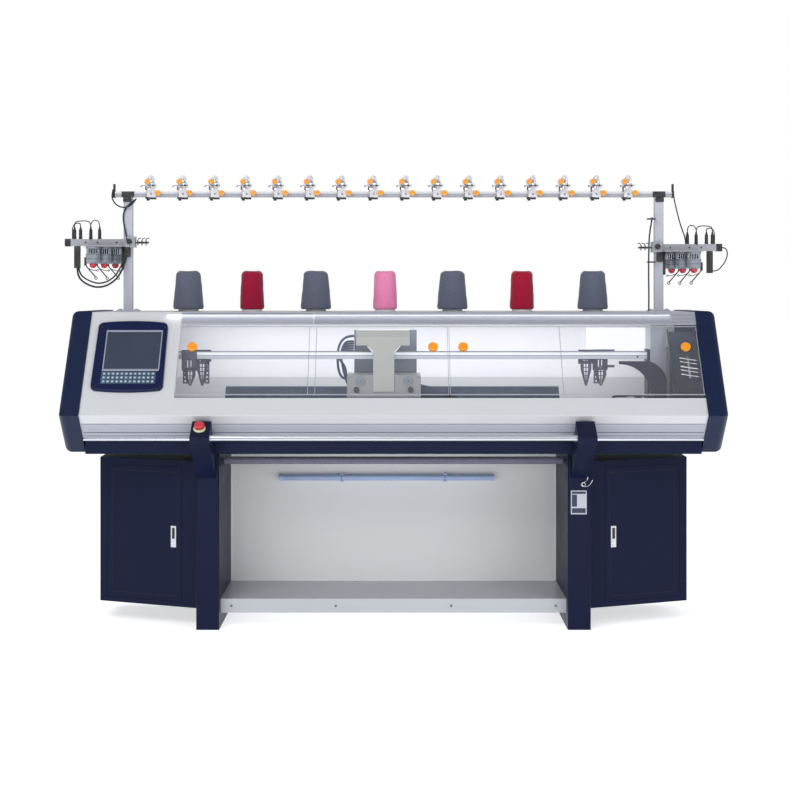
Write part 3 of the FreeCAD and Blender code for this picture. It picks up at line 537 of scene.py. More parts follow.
def conePackage(bm, number):
    centre = Vector((cone["places"][number], cone["y"], cone["foot"]))
    low, high = cone["narrow"] if number in cone["narrowOnes"] else cone["wide"]
    sides, levels = 96, 54
    phases = [rng.uniform(0, 6.28) for _ in range(6)]
    rings = []
    for level in range(levels + 1):
        t = level / levels
        radius = low + (high - low) * t
        radius -= 0.006 * max(0, 1 - t / 0.07) ** 2 + 0.013 * max(0, (t - 0.9) / 0.1) ** 2.2
        ring = []
        for side in range(sides):
            a = 2 * math.pi * side / sides
            lump = 0.0004 * math.sin(3 * a + phases[0] + 9 * t)
            lump += 0.0003 * math.sin(7 * a - 21 * t + phases[1])
            crossing = 0.00007 * (math.sin(9 * a + 88 * t + phases[2]) + math.sin(9 * a - 88 * t + phases[3]))
            shoulder = 0.0011 * math.sin(5 * a + phases[4]) * max(0, (t - 0.84) / 0.16)
            r = radius + lump + crossing + shoulder - 0.0012
            top = 0.0012 * math.sin(2 * a + phases[5]) * max(0, (t - 0.9) / 0.1)
            ring.append(bm.verts.new(centre + Vector((r * math.cos(a), r * math.sin(a),
                                                      cone["height"] * t + top))))
        rings.append(ring)
    for radius, drop in ((high - 0.017, 0.0), (high - 0.021, 0.003), (0.019, 0.0045), (0.0185, 0.001),
                         (0.012, 0.001),
                         (0.0105, 0.02)):
        rings.append(circle(bm, Matrix.Translation(centre), cone["height"] - 0.0005 - drop, radius, sides))
    skin(bm, rings[:-3], caps=False)
    skin(bm, rings[-4:], 1, caps=False)
    bm.faces.new(rings[0])
    bm.faces.new(rings[-1])


finishes["cardboard"] = paint("coneCore", tone("8a8478"), 0.7, 300, 0.3, 0.12)
for number, shade in enumerate(cone["shades"]):
    winding = woundYarn(shade + "Yarn" + str(number + 1), cone[shade], cone["places"][number])
    makePiece("yarn_package_" + str(number + 1), lambda bm: conePackage(bm, number), winding, "yarn",
              stands=None if number else "yarn_cones", smooth=60, parts=["cardboard"])


# Tension units along the rack: moulding, dials, discs, eyelets, clamp pads and the swinging wires.
print("stage: tension units")
unit = {"count": 16, "pitch": 0.133, "first": -1.0145, "front": 0.288, "beamTop": 1.739, "beamFoot": 1.715,
        "armY": 0.2585, "armZ": 1.763, "dialRadius": 0.0108, "clampDial": 0.0118}
unitPlaces = [unit["first"] + unit["pitch"] * k for k in range(unit["count"])]


def tensionMoulding(bm):
    top, front = unit["beamTop"], unit["front"]
    for x in unitPlaces:
        spot = near(x, front, top)
        addBox(bm, spot(-17, -13.8, -25), spot(21, -0.3, 6), 0.003)
        outline = [(x - 0.013, top + 0.002), (x + 0.012, top + 0.002), (x + 0.016, top + 0.028),
                   (x + 0.013, top + 0.058), (x + 0.006, top + 0.0665), (x - 0.004, top + 0.0665),
                   (x - 0.012, top + 0.057), (x - 0.016, top + 0.03)]
        addPrism(bm, [(px, front - 0.001, pz) for px, pz in outline], (0, -0.012, 0))
        addTurned(bm, spot(-14, -1, 40), (0, -1, 0), [(0, 0.0135), (0.011, 0.0135), (0.0128, 0.012),
                                                      (0.0132, 0.0105)], 28)
        addTurned(bm, spot(12, -1, 24), (0, -1, 0), [(0, 0.009), (0.017, 0.009), (0.018, 0.008)], 20)
        addBox(bm, spot(18, -13.8, -14), spot(34, -3, -1), 0.0025)
        addBox(bm, spot(-9, -21, 48), spot(3, -12, 64), 0.002)
        for z in (0.010, 0.0165, 0.023):
            addBox(bm, (x - 0.012, front - 0.0148, top + z), (x + 0.008, front - 0.012, top + z + 0.0025),
                   0.0008)


def dial(bm, place, radius, depth, flutes):
    # A turning knob with a fluted rim and a pointer groove across its face.
    shares = ((0, 0.9), (0.001, 1.0), (depth - 0.0016, 1.0), (depth - 0.0004, 0.93), (depth, 0.84),
              (depth, 0.5), (depth - 0.0012, 0.44), (depth - 0.0012, 0.02))
    addFluted(bm, axisFrame(place, (0, -1, 0)), [(along, radius * share) for along, share in shares],
              flutes * 4, lambda k, r: 0.045 if r > radius * 0.95 and k % 4 < 2 else 0)


def tensionDials(bm):
    for x in unitPlaces:
        dial(bm, (x - 0.014, unit["front"] - 0.0142, unit["beamTop"] + 0.04), unit["dialRadius"], 0.0135, 12)
        dial(bm, (x + 0.03, unit["front"] - 0.0143, unit["beamTop"] - 0.007), unit["clampDial"], 0.0135, 14)


def tensionMetal(bm):
    # Two pairs of sprung discs, a coil spring, screw heads and guide pins on each unit.
    top, front = unit["beamTop"], unit["front"]
    for x in unitPlaces:
        spot = near(x, front, top)
        for dx, dz in ((0.002, 0.036), (-0.011, 0.014)):
            for y in (0.0145, 0.0175):
                addTurned(bm, (x + dx, front - y, top + dz), (0, -1, 0),
                          [(0, 0.0035), (0.0008, 0.0085), (0.0011, 0.0088), (0.0014, 0.0085),
                           (0.0022, 0.003)], 20)
            addRod(bm, (x + dx, front - 0.012, top + dz), (x + dx, front - 0.0235, top + dz), 0.0013, 8)
        addCoil(bm, spot(12, -19.5, 24), 0.0009, 0.0035, 33, forward=True)
        addTurned(bm, spot(1.5, -13.8, -12), (0, -1, 0), [(0, 0.0042), (0.0022, 0.0042), (0.003, 0.0033),
                                                          (0.003, 0.002), (0.0018, 0.0019)], 12)
        addRod(bm, spot(6, -4, 65.5), spot(6, -19, 64), 0.0011, 8)


def tensionEyelets(bm):
    # Glazed rings that the yarn passes through.
    for x in unitPlaces:
        for dx, y, dz in ((0.006, 0.021, 0.0615), (-0.004, 0.024, 0.003), (0.021, 0.018, 0.016)):
            addTorus(bm, (x + dx, unit["front"] - y, unit["beamTop"] + dz), (0.35, -1, 0.2), 0.0038, 0.0014)


def tensionPads(bm):
    # Clamp shoes under the beam and the black rear yokes that hold them.
    top, foot, front = unit["beamTop"], unit["beamFoot"], unit["front"]
    for x in unitPlaces:
        over, under = near(x, front, top), near(x, front, foot)
        addBox(bm, under(-24, -13.5, -7.9), under(-4, 19.5, -0.4), 0.0025)
        addBox(bm, under(-20, 24.3, -7.9), over(18, 28, 6), 0.0015)
        addBox(bm, over(-20, -2, 0.4), over(18, 28, 4.5), 0.0012)
        addRod(bm, under(-14, 3, -14.5), under(-14, 3, -7.5), 0.0065, 14, round=0.001)
        addBox(bm, over(-23.5, -18.5, 5), over(-16.5, -6, 21), 0.0015)


def tensionWires(bm):
    y, z = unit["armY"], unit["armZ"]
    for x in unitPlaces:
        spot = near(x, y, z)
        addWire(bm, [(26, 0, 0), (5, 0, 0), (-20, 0, 0), (-33, 0, 0), (-36.5, -4, -1), (-36.5, -14, -4.5),
                     (-36.5, -23.5, -7.8)], 0.00125, 7, place=spot)
        addTorus(bm, spot(-34.5, -22.5, -7.6), (0, -0.3, 1), 0.0026, 0.0011, 12, 6)
        addCoil(bm, spot(8, 0, 0), 0.0011, 0.0026, 41)


finishes["glaze"] = moulding("glazedRing", tone("e6e2da"), 0.12, 0.6)
for row in (("tension_mouldings", tensionMoulding, "ivory", "tension_body", "frame", "tension_bodies"),
            ("tension_dials", tensionDials, "orange", "orange_plastic", "frame", "tension_knobs"),
            ("tension_discs", tensionMetal, "chrome", "chrome"),
            ("tension_eyelets", tensionEyelets, "glaze", "tension_body"),
            ("tension_clamps", tensionPads, "black", "black_plastic"),
            ("tension_wires", tensionWires, "black", "black_plastic", "tension_arms", "tension_arms")):
    makePiece(*row)


# Side feeders: bars with their fittings, motor units, guide arms, plugs and short leads.
print("stage: side feeders")
feeder = {"unitX": (-1.251, -1.2135, -1.176), "unitY": (0.245, 0.300, 0.355), "barTop": 1.540,
          "barFoot": 1.511, "drop": 0.021, "barY": 0.300, "plugX": (-1.338, -1.313, -1.270, -1.233),
          "discX": -1.078, "pins": 18}


def bothSides(build):
    # Runs a build for the left side, then mirrors it to the right side, a little lower.
    def run(bm):
        build(bm)
        known = set(bm.verts)
        build(bm)
        fresh = [v for v in bm.verts if v not in known]
        for v in fresh:
            v.co.x = -v.co.x
            v.co.z -= feeder["drop"]
        bmesh.ops.reverse_faces(bm, faces=list({f for v in fresh for f in v.link_faces}))
    return run


def motorUnits(bm):
    foot = feeder["barFoot"]
    for x, y in zip(feeder["unitX"], feeder["unitY"]):
        top = (x, y, foot - 0.004)
        addTurned(bm, top, (0, 0, -1), [(0, 0.0285), (0.0005, 0.0298), (0.0085, 0.0298), (0.0095, 0.0285),
                                        (0.0105, 0.024)], 36)
        addTurned(bm, top, (0, 0, -1), [(0.009, 0.0205), (0.031, 0.0205), (0.031, 0.0225)], 30, slot=1)
        for k in range(feeder["pins"]):
            a = 2 * math.pi * k / feeder["pins"]
            px, py = x + 0.0262 * math.cos(a), y + 0.0262 * math.sin(a)
            addRod(bm, (px, py, foot - 0.0135), (px, py, foot - 0.036), 0.0019, 6, slot=2)
        addTurned(bm, top, (0, 0, -1), [(0.030, 0.0225), (0.0305, 0.0294), (0.033, 0.0298), (0.060, 0.0290),
                                        (0.066, 0.0278), (0.0705, 0.0235), (0.0722, 0.0165)], 36)
        for z in (0.0385, 0.0555):
            addTorus(bm, (x, y, foot - z), (0, 0, 1), 0.0292, 0.0008, 36, 6, slot=1)
        for k in range(10):
            a = 2 * math.pi * (k + 0.5) / 10
            low = (x + 0.0291 * math.cos(a), y + 0.0291 * math.sin(a), foot - 0.0525)
            addRod(bm, low, (low[0], low[1], foot - 0.0405), 0.0012, 6)
        addBox(bm, (x - 0.036, y - 0.006, foot - 0.0835), (x - 0.0265, y + 0.006, foot - 0.048), 0.002, 1)


def motorDomes(bm):
    for x, y in zip(feeder["unitX"], feeder["unitY"]):
        addTurned(bm, (x, y, feeder["barFoot"] - 0.076), (0, 0, -1),
                  [(0, 0.0146), (0.003, 0.015), (0.007, 0.0146), (0.0115, 0.0128), (0.0152, 0.0095),
                   (0.0172, 0.0055), (0.0179, 0.001)], 28)


def guideArms(bm):
    # Black yarn guides below the units, and the sprung tensioners at the inner end of the bar.
    foot = feeder["barFoot"]
    for x, y in zip(feeder["unitX"], feeder["unitY"]):
        spot = near(x, y, foot)
        addWire(bm, [(-33, 0, -75), (-31, 0, -82), (-16, 0, -100), (2, 0, -120.5), (9.5, 0, -129.5)], 0.0026,
                place=spot)
        addTorus(bm, spot(12, 0, -135), (0, 1, 0), 0.0052, 0.0018, 16, 6)
        addWire(bm, [(-22, -4, -94), (-6, -6, -100), (6, -6, -104), (16, -4, -103)], 0.0016, 6, place=spot)
        addTorus(bm, spot(19.5, -4, -103), (0, 1, 0.3), 0.0036, 0.0014, 14, 6)
    x, y, z = feeder["discX"], feeder["barY"], feeder["barTop"] - 0.015
    addRod(bm, (x - 0.004, y, z), (x + 0.048, y, z), 0.0024, 10, round=0.0006)
    for k in range(3):
        place = x + 0.003 + 0.017 * k
        spot = near(place, y, z)
        for lean, step in ((1, 0), (-1, 0.0052)):
            addTurned(bm, (place + step, y, z), (lean, 0, 0), [(0, 0.0026), (0.0004, 0.0085),
                                                               (0.0016, 0.0125), (0.0024, 0.0128),
                                                               (0.0028, 0.0122), (0.0016, 0.008)], 24)
        addCoil(bm, spot(8.5, 0, 0), 0.0011, 0.0046, 37)
        addWire(bm, [(2, -10.5, 4), (6, -14, 14), (12, -14, 19), (19, -13, 18)], 0.0019, place=spot)


def barFittings(bm):
    # Black end cap, joint boxes, clamp knob and cable clips.
    top, foot, y = feeder["barTop"], feeder["barFoot"], feeder["barY"]
    addBox(bm, (-1.3775, y - 0.0106, foot - 0.002), (-1.352, y + 0.0106, top + 0.0012), 0.002)
    addBox(bm, (-1.3775, y - 0.0145, foot + 0.006), (-1.364, y - 0.0095, top - 0.006), 0.0015)
    addBox(bm, (-1.203, y - 0.0135, foot - 0.0045), (-1.119, y + 0.0135, foot + 0.0015), 0.0015)
    addTurned(bm, (-1.103, y - 0.0268, (top + foot) / 2 + 0.003), (0, -1, 0),
              [(0, 0.006), (0.004, 0.006), (0.0045, 0.0105), (0.0125, 0.0115), (0.0135, 0.0105),
               (0.0135, 0.004)], 20)
    addBox(bm, (-1.127, y - 0.0295, foot - 0.046), (-1.1, y - 0.0165, foot - 0.0045), 0.003)
    addBox(bm, (-1.1395, y - 0.017, foot - 0.1), (-1.1275, y + 0.009, foot - 0.0045), 0.0025)
    addBox(bm, (-1.3385, y - 0.0117, foot - 0.093), (-1.3115, y - 0.0042, foot - 0.0005), 0.0015)
    for x in (-1.29, -1.24, -1.16):
        addTurned(bm, (x, y - 0.0102, (top + foot) / 2), (0, -1, 0),
                  [(0, 0.0034), (0.0016, 0.0034), (0.0022, 0.0026), (0.0022, 0.001)], 10)


def plugs(bm):
    # Cable connectors on the bar: a knurled nut, a moulded body and a ribbed bend relief.
    for x in feeder["plugX"]:
        profile = [(0, 0.0066), (0.0006, 0.0078), (0.009, 0.0078), (0.0098, 0.0068), (0.0125, 0.0068),
                   (0.0132, 0.0073), (0.0382, 0.007), (0.0392, 0.0058)]
        for k in range(4):
            profile += [(0.0395 + 0.003 * k, 0.0055 - 0.0005 * k), (0.0408 + 0.003 * k, 0.0052 - 0.0005 * k),
                        (0.041 + 0.003 * k, 0.0042 - 0.0004 * k), (0.0421 + 0.003 * k, 0.0041 - 0.0004 * k)]
        addTurned(bm, (x, feeder["barY"], feeder["barTop"] + 0.0002), (0, 0, 1), profile, 18)


def shortLeads(bm):
    # The leads that loop from each plug to the units and to the next fitting.
    top, y = feeder["barTop"] + 0.048, feeder["barY"]
    a, b, c, d = feeder["plugX"]
    loops = [[(a, y, top), (a, y, top + 0.016), (a + 0.008, y - 0.004, top + 0.027),
              (c - 0.014, y - 0.004, top + 0.029), (c, y, top + 0.018), (c, y, top)],
             [(b, y, top), (b, y, top + 0.012), (b - 0.004, y + 0.005, top + 0.019),
              (b - 0.026, y + 0.009, top + 0.019), (b - 0.037, y + 0.0135, top),
              (b - 0.037, y + 0.0135, top - 0.03), (b - 0.036, y + 0.0105, top - 0.053)],
             [(d, y, top), (d, y, top + 0.014), (d - 0.006, y - 0.004, top + 0.03),
              (d - 0.028, y - 0.008, top + 0.03), (d - 0.037, y - 0.0125, top + 0.008),
              (d - 0.037, y - 0.0135, top - 0.03), (d - 0.037, y - 0.0105, top - 0.053)]]
    for loop in loops:
        addWire(bm, loop, 0.0022, 8)


for name, build, finish, slot, stands, parts in (
        ("feeder_motor_units", motorUnits, "feeder", "feeder_grey", "feeder_bodies", ("black", "silver")),
        ("feeder_caps", motorDomes, "red", "red_plastic", "feeder_domes", ()),
        ("feeder_guides", guideArms, "black", "black_plastic", "feeder_arms", ()),
        ("feeder_fittings", barFittings, "black", "black_plastic", None, ()),
        ("feeder_plugs", plugs, "black", "black_plastic", None, ()),
        ("feeder_short_leads", shortLeads, "cable", "cable_black", None, ())):
    makePiece(name, bothSides(build), finish, slot, stands=stands, parts=parts)


# Rack wiring and small fittings.
print("stage: rack wiring")
rack = {"postX": 1.112, "postY": 0.300, "front": 0.285, "deck": 1.238}


def rackWiring(bm):
    x, front = rack["postX"], rack["front"]
    left, right = near(-x, front, 0), near(x, front, 0)
    addWire(bm, [(-1319, 295.5, 1421), (-1317, 292, 1401), (-1296, 272, 1378), (-1262, 250, 1362),
                 (-1225, 236, 1352), (-1186, 236, 1362), (-1156, 250, 1388), (-1140, 262, 1420),
                 (-1130, 272, 1448), (-1122, 277, 1470)], 0.0034, place=at)
    # Left: a loop round the beam end, then the lead down to the feeder's clamp.
    addWire(bm, [(-62, 0, 1747), (-64, -6, 1735), (-66, -10, 1712), (-52, -14, 1686), (-26, -16, 1671),
                 (4, -16, 1672), (26, -12, 1690), (36, -6, 1709)], 0.003, place=left)
    addWire(bm, [(34, -4, 1706), (12, -6, 1690), (-14, -6, 1662), (-20, -6, 1630), (-14, -5, 1590),
                 (-6, -6, 1556), (-2, -12, 1535)], 0.0035, place=left)
    # Right: the lead that leaves the beam end for the outer plug, and the one that runs down beside the post.
    addWire(bm, [(57, 4, 1748), (59, -3, 1735), (64, 0, 1700), (78, 4, 1645), (90, 6, 1600), (104, 10, 1565),
                 (112, 12, 1540), (114, 12.5, 1512)], 0.0028, place=right)
    addWire(bm, [(-30, -6, 1630), (-35, -16, 1605), (-44, -30, 1565), (-48, -36, 1520), (-48, -30, 1460),
                 (-47, -22, 1380), (-45, -16, 1300), (-45, -12, 1260), (-45, -12, 1238.5)], 0.0033,
            place=right)


def rackFittings(bm):
    # Joint blocks under the beam, end stops, cable clips and the clamp screws of the posts.
    for side in (-1, 1):
        x = side * rack["postX"]
        inner = x - side * 0.014
        addBox(bm, (min(inner, x + side * 0.02), 0.279, 1.695), (max(inner, x + side * 0.02), 0.2848, 1.7145),
               0.0015)
        addBox(bm, (x - 0.026, 0.2825, 1.7145), (x + 0.026, 0.2875, 1.7395), 0.0015)
        addTurned(bm, (x - side * 0.012, 0.2792, 1.705), (0, -1, 0),
                  [(0, 0.0055), (0.003, 0.0055), (0.004, 0.0045), (0.004, 0.002)], 14)
        addBox(bm, (side * 1.171 - 0.005, 0.287, 1.7125), (side * 1.171 + 0.005, 0.3126, 1.7415), 0.0015)
        addRod(bm, (side * 1.171, 0.3, 1.7395), (side * 1.171, 0.3, 1.7708), 0.0052, 12, round=0.001)
    for z in (1.62, 1.44):
        addBox(bm, (1.060, 0.2555, z), (1.0935, 0.2845, z + 0.006), 0.001)


def postBases(bm):
    # Four cap screws on each post's flanged foot.
    for side in (-1, 1):
        x = side * rack["postX"]
        for dx in (-0.034, 0.034):
            for dy in (-0.024, 0.024):
                boltHead(bm, (x + dx, rack["postY"] + dy, rack["deck"] + 0.0049), (0, 0, 1), 0.0052, 0.0045)


def boltHead(bm, place, direction, radius, height, sides=14):
    # A socket cap screw head with its hexagon recess.
    addTurned(bm, place, direction, [(0, radius), (height * 0.85, radius), (height, radius * 0.88),
                                     (height, radius * 0.52), (height * 0.45, radius * 0.5)], sides)


for row in (("rack_wiring", rackWiring, "cable", "cable_black"),
            ("rack_fittings", rackFittings, "black", "black_plastic"),
            ("post_screws", postBases, "chrome", "chrome")):
    makePiece(*row)


# Hood: the slope's own axes, extruded rails, window edges and knobs, screen, keys and fascia.
print("stage: hood")
hood = {"origin": (-0.301, 0.911), "angle": math.radians(53.158), "noseY": -0.350, "noseZ": 0.846,
        "footY": -0.251, "footZ": 0.752, "left": -0.842, "outer": 1.1995}
fasciaTurn = math.atan2(hood["noseZ"] - hood["footZ"], hood["noseY"] - hood["footY"])


def onSlope(x, v, w):
    # x along the machine, v up the slope and w out of it.
    a = hood["angle"]
    return Vector((x, hood["origin"][0] + v * math.cos(a) - w * math.sin(a),
                   hood["origin"][1] + v * math.sin(a) + w * math.cos(a)))


def onFascia(x, t, w):
    # t up the fascia from its lower edge and w out of it.
    a = fasciaTurn
    return Vector((x, hood["footY"] + t * math.cos(a) - w * math.sin(a),
                   hood["footZ"] + t * math.sin(a) + w * math.cos(a)))


def addStrip(bm, left, right, outline, place, slot=0):
    addPrism(bm, [place(left, a, b) for a, b in outline], place(right, 0, 0) - place(left, 0, 0), slot)


def slopeBox(bm, x0, x1, v0, v1, w0, w1, bevel=0.0, slot=0):
    known = set(bm.verts)
    addBox(bm, (x0, v0, w0), (x1, v1, w1), bevel, slot)
    for v in set(bm.verts) - known:
        v.co = onSlope(v.co.x, v.co.y, v.co.z)


def hingeRail(bm):
    # The extruded rail that the windows hang from: a plain cap at the left, ribs along the rest.
    base = [(0.3505, 0.0001), (0.3505, 0.0016), (0.3525, 0.0022), (0.3565, 0.0022), (0.3575, 0.0014),
            (0.4035, 0.0014), (0.4055, 0.0008), (0.4065, 0.0001)]
    addStrip(bm, hood["left"] + 0.002, -0.318, base, onSlope)
    ribbed = [(0.3505, 0.0001), (0.3505, 0.003), (0.3545, 0.003), (0.3555, 0.0016), (0.3645, 0.0016),
              (0.3655, 0.0034), (0.3695, 0.0034), (0.3705, 0.0016), (0.3835, 0.0016), (0.3845, 0.003),
              (0.3885, 0.003), (0.3895, 0.0016), (0.3995, 0.0016), (0.4005, 0.0028), (0.4055, 0.0028),
              (0.4065, 0.0001)]
    addStrip(bm, -0.314, hood["outer"] - 0.002, ribbed, onSlope)


windows = {"left": {"x": (-0.840, 0.2145), "knobs": (-0.7885, 0.155), "seams": (-0.331, -0.303)},
           "right": {"x": (0.2175, 1.197), "knobs": (0.273, 1.145), "seams": (0.655,)},
           "v": (0.008, 0.3438), "knobV": 0.234, "edge": 0.0026}


def windowEdges(bm, side):
    # Polished edges, the bonded lower lip and the joint strips of one clear cover.
    x0, x1 = windows[side]["x"]
    v0, v1 = windows["v"]
    e = windows["edge"]
    slopeBox(bm, x0 + 0.0002, x0 + e, v0 + 0.006, v1 - 0.004, -0.0002, 0.0006)
    slopeBox(bm, x1 - e, x1 - 0.0002, v0 + 0.006, v1 - 0.004, -0.0002, 0.0006)
    slopeBox(bm, x0 + 0.0002, x1 - 0.0002, v0 + 0.0002, v0 + 0.0048, 0.0075, 0.0086, 0.0004)
    slopeBox(bm, x0 + 0.0002, x1 - 0.0002, v1 - 0.009, v1 - 0.0052, -0.0002, 0.0007)
    for x in windows[side]["seams"]:
        slopeBox(bm, x - 0.0014, x + 0.0014, v0 + 0.006, v1 - 0.006, -0.0002, 0.0016, 0.0004)


def knobCaps(bm, side):
    # Orange turning knobs with finger hollows round the rim and a raised bar across the face.
    out = onSlope(0, 0, 1) - onSlope(0, 0, 0)
    radius, sides = 0.0195, 72
    shares = ((0, 0.9), (0.001, 0.98), (0.0025, 1.0), (0.0105, 1.0), (0.0128, 0.95), (0.0138, 0.86),
              (0.0138, 0.62), (0.0124, 0.56), (0.0124, 0.05))
    for x in windows[side]["knobs"]:
        matrix = axisFrame(onSlope(x, windows["knobV"], 0.001), out)
        addFluted(bm, matrix, [(along, radius * share) for along, share in shares], sides, lambda k,
                  r: 0.035 * max(0, math.cos(24 * math.pi * k / sides)) if r > radius * 0.8 else 0)
        turn = matrix.to_3x3().to_4x4() @ Matrix.Rotation(math.radians(30), 4, "Z")
        addBox(bm, matrix @ Vector((0, 0, 0.0128)) - Vector((0.0095, 0.0022, 0.0016)),
               matrix @ Vector((0, 0, 0.0128)) + Vector((0.0095, 0.0022, 0.0016)), 0.0008, 0, turn)
        addTurned(bm, onSlope(x, windows["knobV"], -0.005), out, [(0, 0.005), (0.0065, 0.005)], 16)


finishes["seam"] = acrylic("bondedSeam", tone("b9bdc8"), 0.62, 0.2)
for side in ("left", "right"):
    body = side + "_window"
    makePiece(body + "_edges", lambda bm: windowEdges(bm, side), "seam", "clear_sheet", body)
    makePiece(body + "_dials", lambda bm: knobCaps(bm, side), "orange", "orange_plastic", body,
              body + "_knobs", 50)
makePiece("hinge_rail", hingeRail, "rail", "bright_metal")


def fasciaRail(bm):
    # The extruded lower half of the fascia: a lip, two open T slots and a bright foot.
    profile = [(0.002, 0.0002), (0.002, 0.002), (0.0135, 0.002), (0.0145, 0.0006), (0.0185, 0.0006),
               (0.0195, 0.002), (0.033, 0.002), (0.034, 0.0007), (0.0395, 0.0007), (0.0405, 0.002),
               (0.058, 0.002), (0.0588, 0.0012), (0.061, 0.0012), (0.0618, 0.002), (0.0835, 0.002),
               (0.0855, 0.0012), (0.0862, 0.0002)]
    addStrip(bm, -hood["outer"] + 0.004, hood["outer"] - 0.004, profile, onFascia)


def fasciaSlotShadeAndJoint(bm):
    # Dark strips: painted shade in the fascia's two open slots, and the dark joint along its upper edge.
    for t0, t1 in ((0.0142, 0.0188), (0.0337, 0.0398), (0.0864, 0.0886)):
        addStrip(bm, -hood["outer"] + 0.005, hood["outer"] - 0.005,
                 [(t0, 0.0001), (t0, 0.00075), (t1, 0.00075), (t1, 0.0001)], onFascia)


finishes["lavender"] = brushed("anodisedFascia", tone("a9adba"), 0.4, (1, 70, 70), 0.25)
finishes["slotShadeAndJoint"] = rubber("slotShadeAndJointSeal", tone("4a4e5c"), 0.6)
makePiece("fascia_rail", fasciaRail, "lavender", "bright_metal")
makePiece("fascia_slot_shade_and_joint", fasciaSlotShadeAndJoint, "slotShadeAndJoint", "black_plastic")


# Control panel: display frame, glass, membrane keys and bezel screws.
print("stage: control panel")
panel = {"screenX": (-1.130, -0.908), "screenV": (0.122, 0.311), "keysX": (-1.132, -0.918),
         "keysV": (0.056, 0.116), "face": 0.014, "columns": 12, "rows": 3, "keyMargin": 0.004,
         "rowPitch": 0.018}


def screenFrame(bm):
    x0, x1 = panel["screenX"]
    v0, v1 = panel["screenV"]
    top = panel["face"]
    for box in ((x0 + 0.0003, x1 - 0.0003, v1 - 0.0085, v1 - 0.0003),
                (x0 + 0.0003, x1 - 0.0003, v0 + 0.0003, v0 + 0.004),
                (x0 + 0.0003, x0 + 0.0048, v0 + 0.003, v1 - 0.006),
                (x1 - 0.0048, x1 - 0.0003, v0 + 0.003, v1 - 0.006)):
        slopeBox(bm, box[0], box[1], box[2], box[3], 0.0119, top - 0.0004, 0.0006)
    slopeBox(bm, panel["keysX"][0] + 0.002, panel["keysX"][1] + 0.008, 0.1155, 0.1225, 0.0141, 0.0149, 0.0003)


def keyPlaces():
    # Each key's column, row and lower left corner, and its width with the gap.
    (x0, x1), v0 = panel["keysX"], panel["keysV"][0]
    pitch = (x1 - x0 - 2 * panel["keyMargin"]) / panel["columns"]
    for column in range(panel["columns"]):
        for row in range(panel["rows"]):
            x, v = x0 + panel["keyMargin"] + pitch * column, v0 + panel["keyMargin"] + panel["rowPitch"] * row
            yield column, row, x, v, pitch


def keyCaps(bm):
    for _, _, x, v, pitch in keyPlaces():
        slopeBox(bm, x + 0.0019, x + pitch - 0.0019, v + 0.0014, v + 0.0146, 0.0123, 0.0137, 0.0011)


def keyMarks(bm):
    # A plain raised mark on each key, with no lettering.
    for column, row, x, v, pitch in keyPlaces():
        x, v = x + pitch / 2, v + 0.008
        size = 0.0034 if (column + row) % 3 else 0.0026
        slopeBox(bm, x - size, x + size, v - 0.0026, v + 0.0026, 0.0136, 0.0141, 0.0003)


def bezelScrews(bm):
    out = onSlope(0, 0, 1) - onSlope(0, 0, 0)
    for x, v in ((-1.149, 0.325), (-0.9, 0.325), (-1.149, 0.046), (-0.899, 0.046)):
        boltHead(bm, onSlope(x, v, panel["face"] - 0.0006), out, 0.0042, 0.0016)


def displayGlass(name):
    # A dead display under glass: a dark grey film with a faint slow sheen and fine dust.
    finish = Finish(name, coat=0.35, coatRoughness=0.08, specular=0.2)
    film = finish.noise(7, 3)
    dust = finish.noise(900, 2)
    finish.set(colour=finish.blend(film, tone("2f3948"), tone("3c4355")),
               roughness=finish.spread(dust, 0.22, 0.36))
    finish.relief(dust, 0.03, 0.0002)
    return finish.material


def membrane(name):
    # Key sheet: a woven texture under a tint that darkens from left to right across the panel.
    finish = Finish(name, specular=0.3)
    weave = finish.noise(1500, 2)
    drift = finish.spread(finish.part(0), 0, 1, -1.13, -0.92)
    finish.set(colour=finish.blend(drift, tone("42596f"), tone("374c60")),
               roughness=finish.spread(weave, 0.42, 0.6))
    finish.relief(weave, 0.12, 0.0003)
    return finish.material


dress("screen_glass", displayGlass("displayGlass"))
dress("keypad", membrane("keyMembrane"))
finishes["keyCap"] = moulding("keyCap", tone("647891"), 0.45, 0.1)
finishes["keyMark"] = moulding("keyMark", tone("c3ced6"), 0.5, 0.0)
for row in (("screen_frame", screenFrame, paint("screenFramePaint", tone("9499ab"), 0.4, 900), "white_paint"),
            ("key_caps", keyCaps, "keyCap", "key_membrane"),
            ("key_marks", keyMarks, "keyMark", "key_membrane"),
            ("bezel_screws", bezelScrews, "black", "black_plastic")):
    makePiece(*row)


# Knitting head: needles, yarn rails, carriage fittings and the yarn carriers.
print("stage: knitting head")


def slottedSteel(name):
    # Ground bed with a milled needle slot every four millimetres, each slot painted dark as painted shade,
    # and oily patches between.
    finish = Finish(name, metallic=0.7)
    pitch = (finish.part(0) * 250).calc("FRACT")
    slotsWithShade = abs(pitch - 0.5) > 0.34
    oil = finish.noise(26, 4, 0.6)
    base = finish.blend(oil, tone("3d4a60"), tone("61718a"))
    finish.set(colour=finish.blend(slotsWithShade, base, tone("252d3d")), roughness=finish.spread(oil, 0.3, 0.55))
    finish.relief(slotsWithShade, 0.4, 0.0006)
    return finish.material


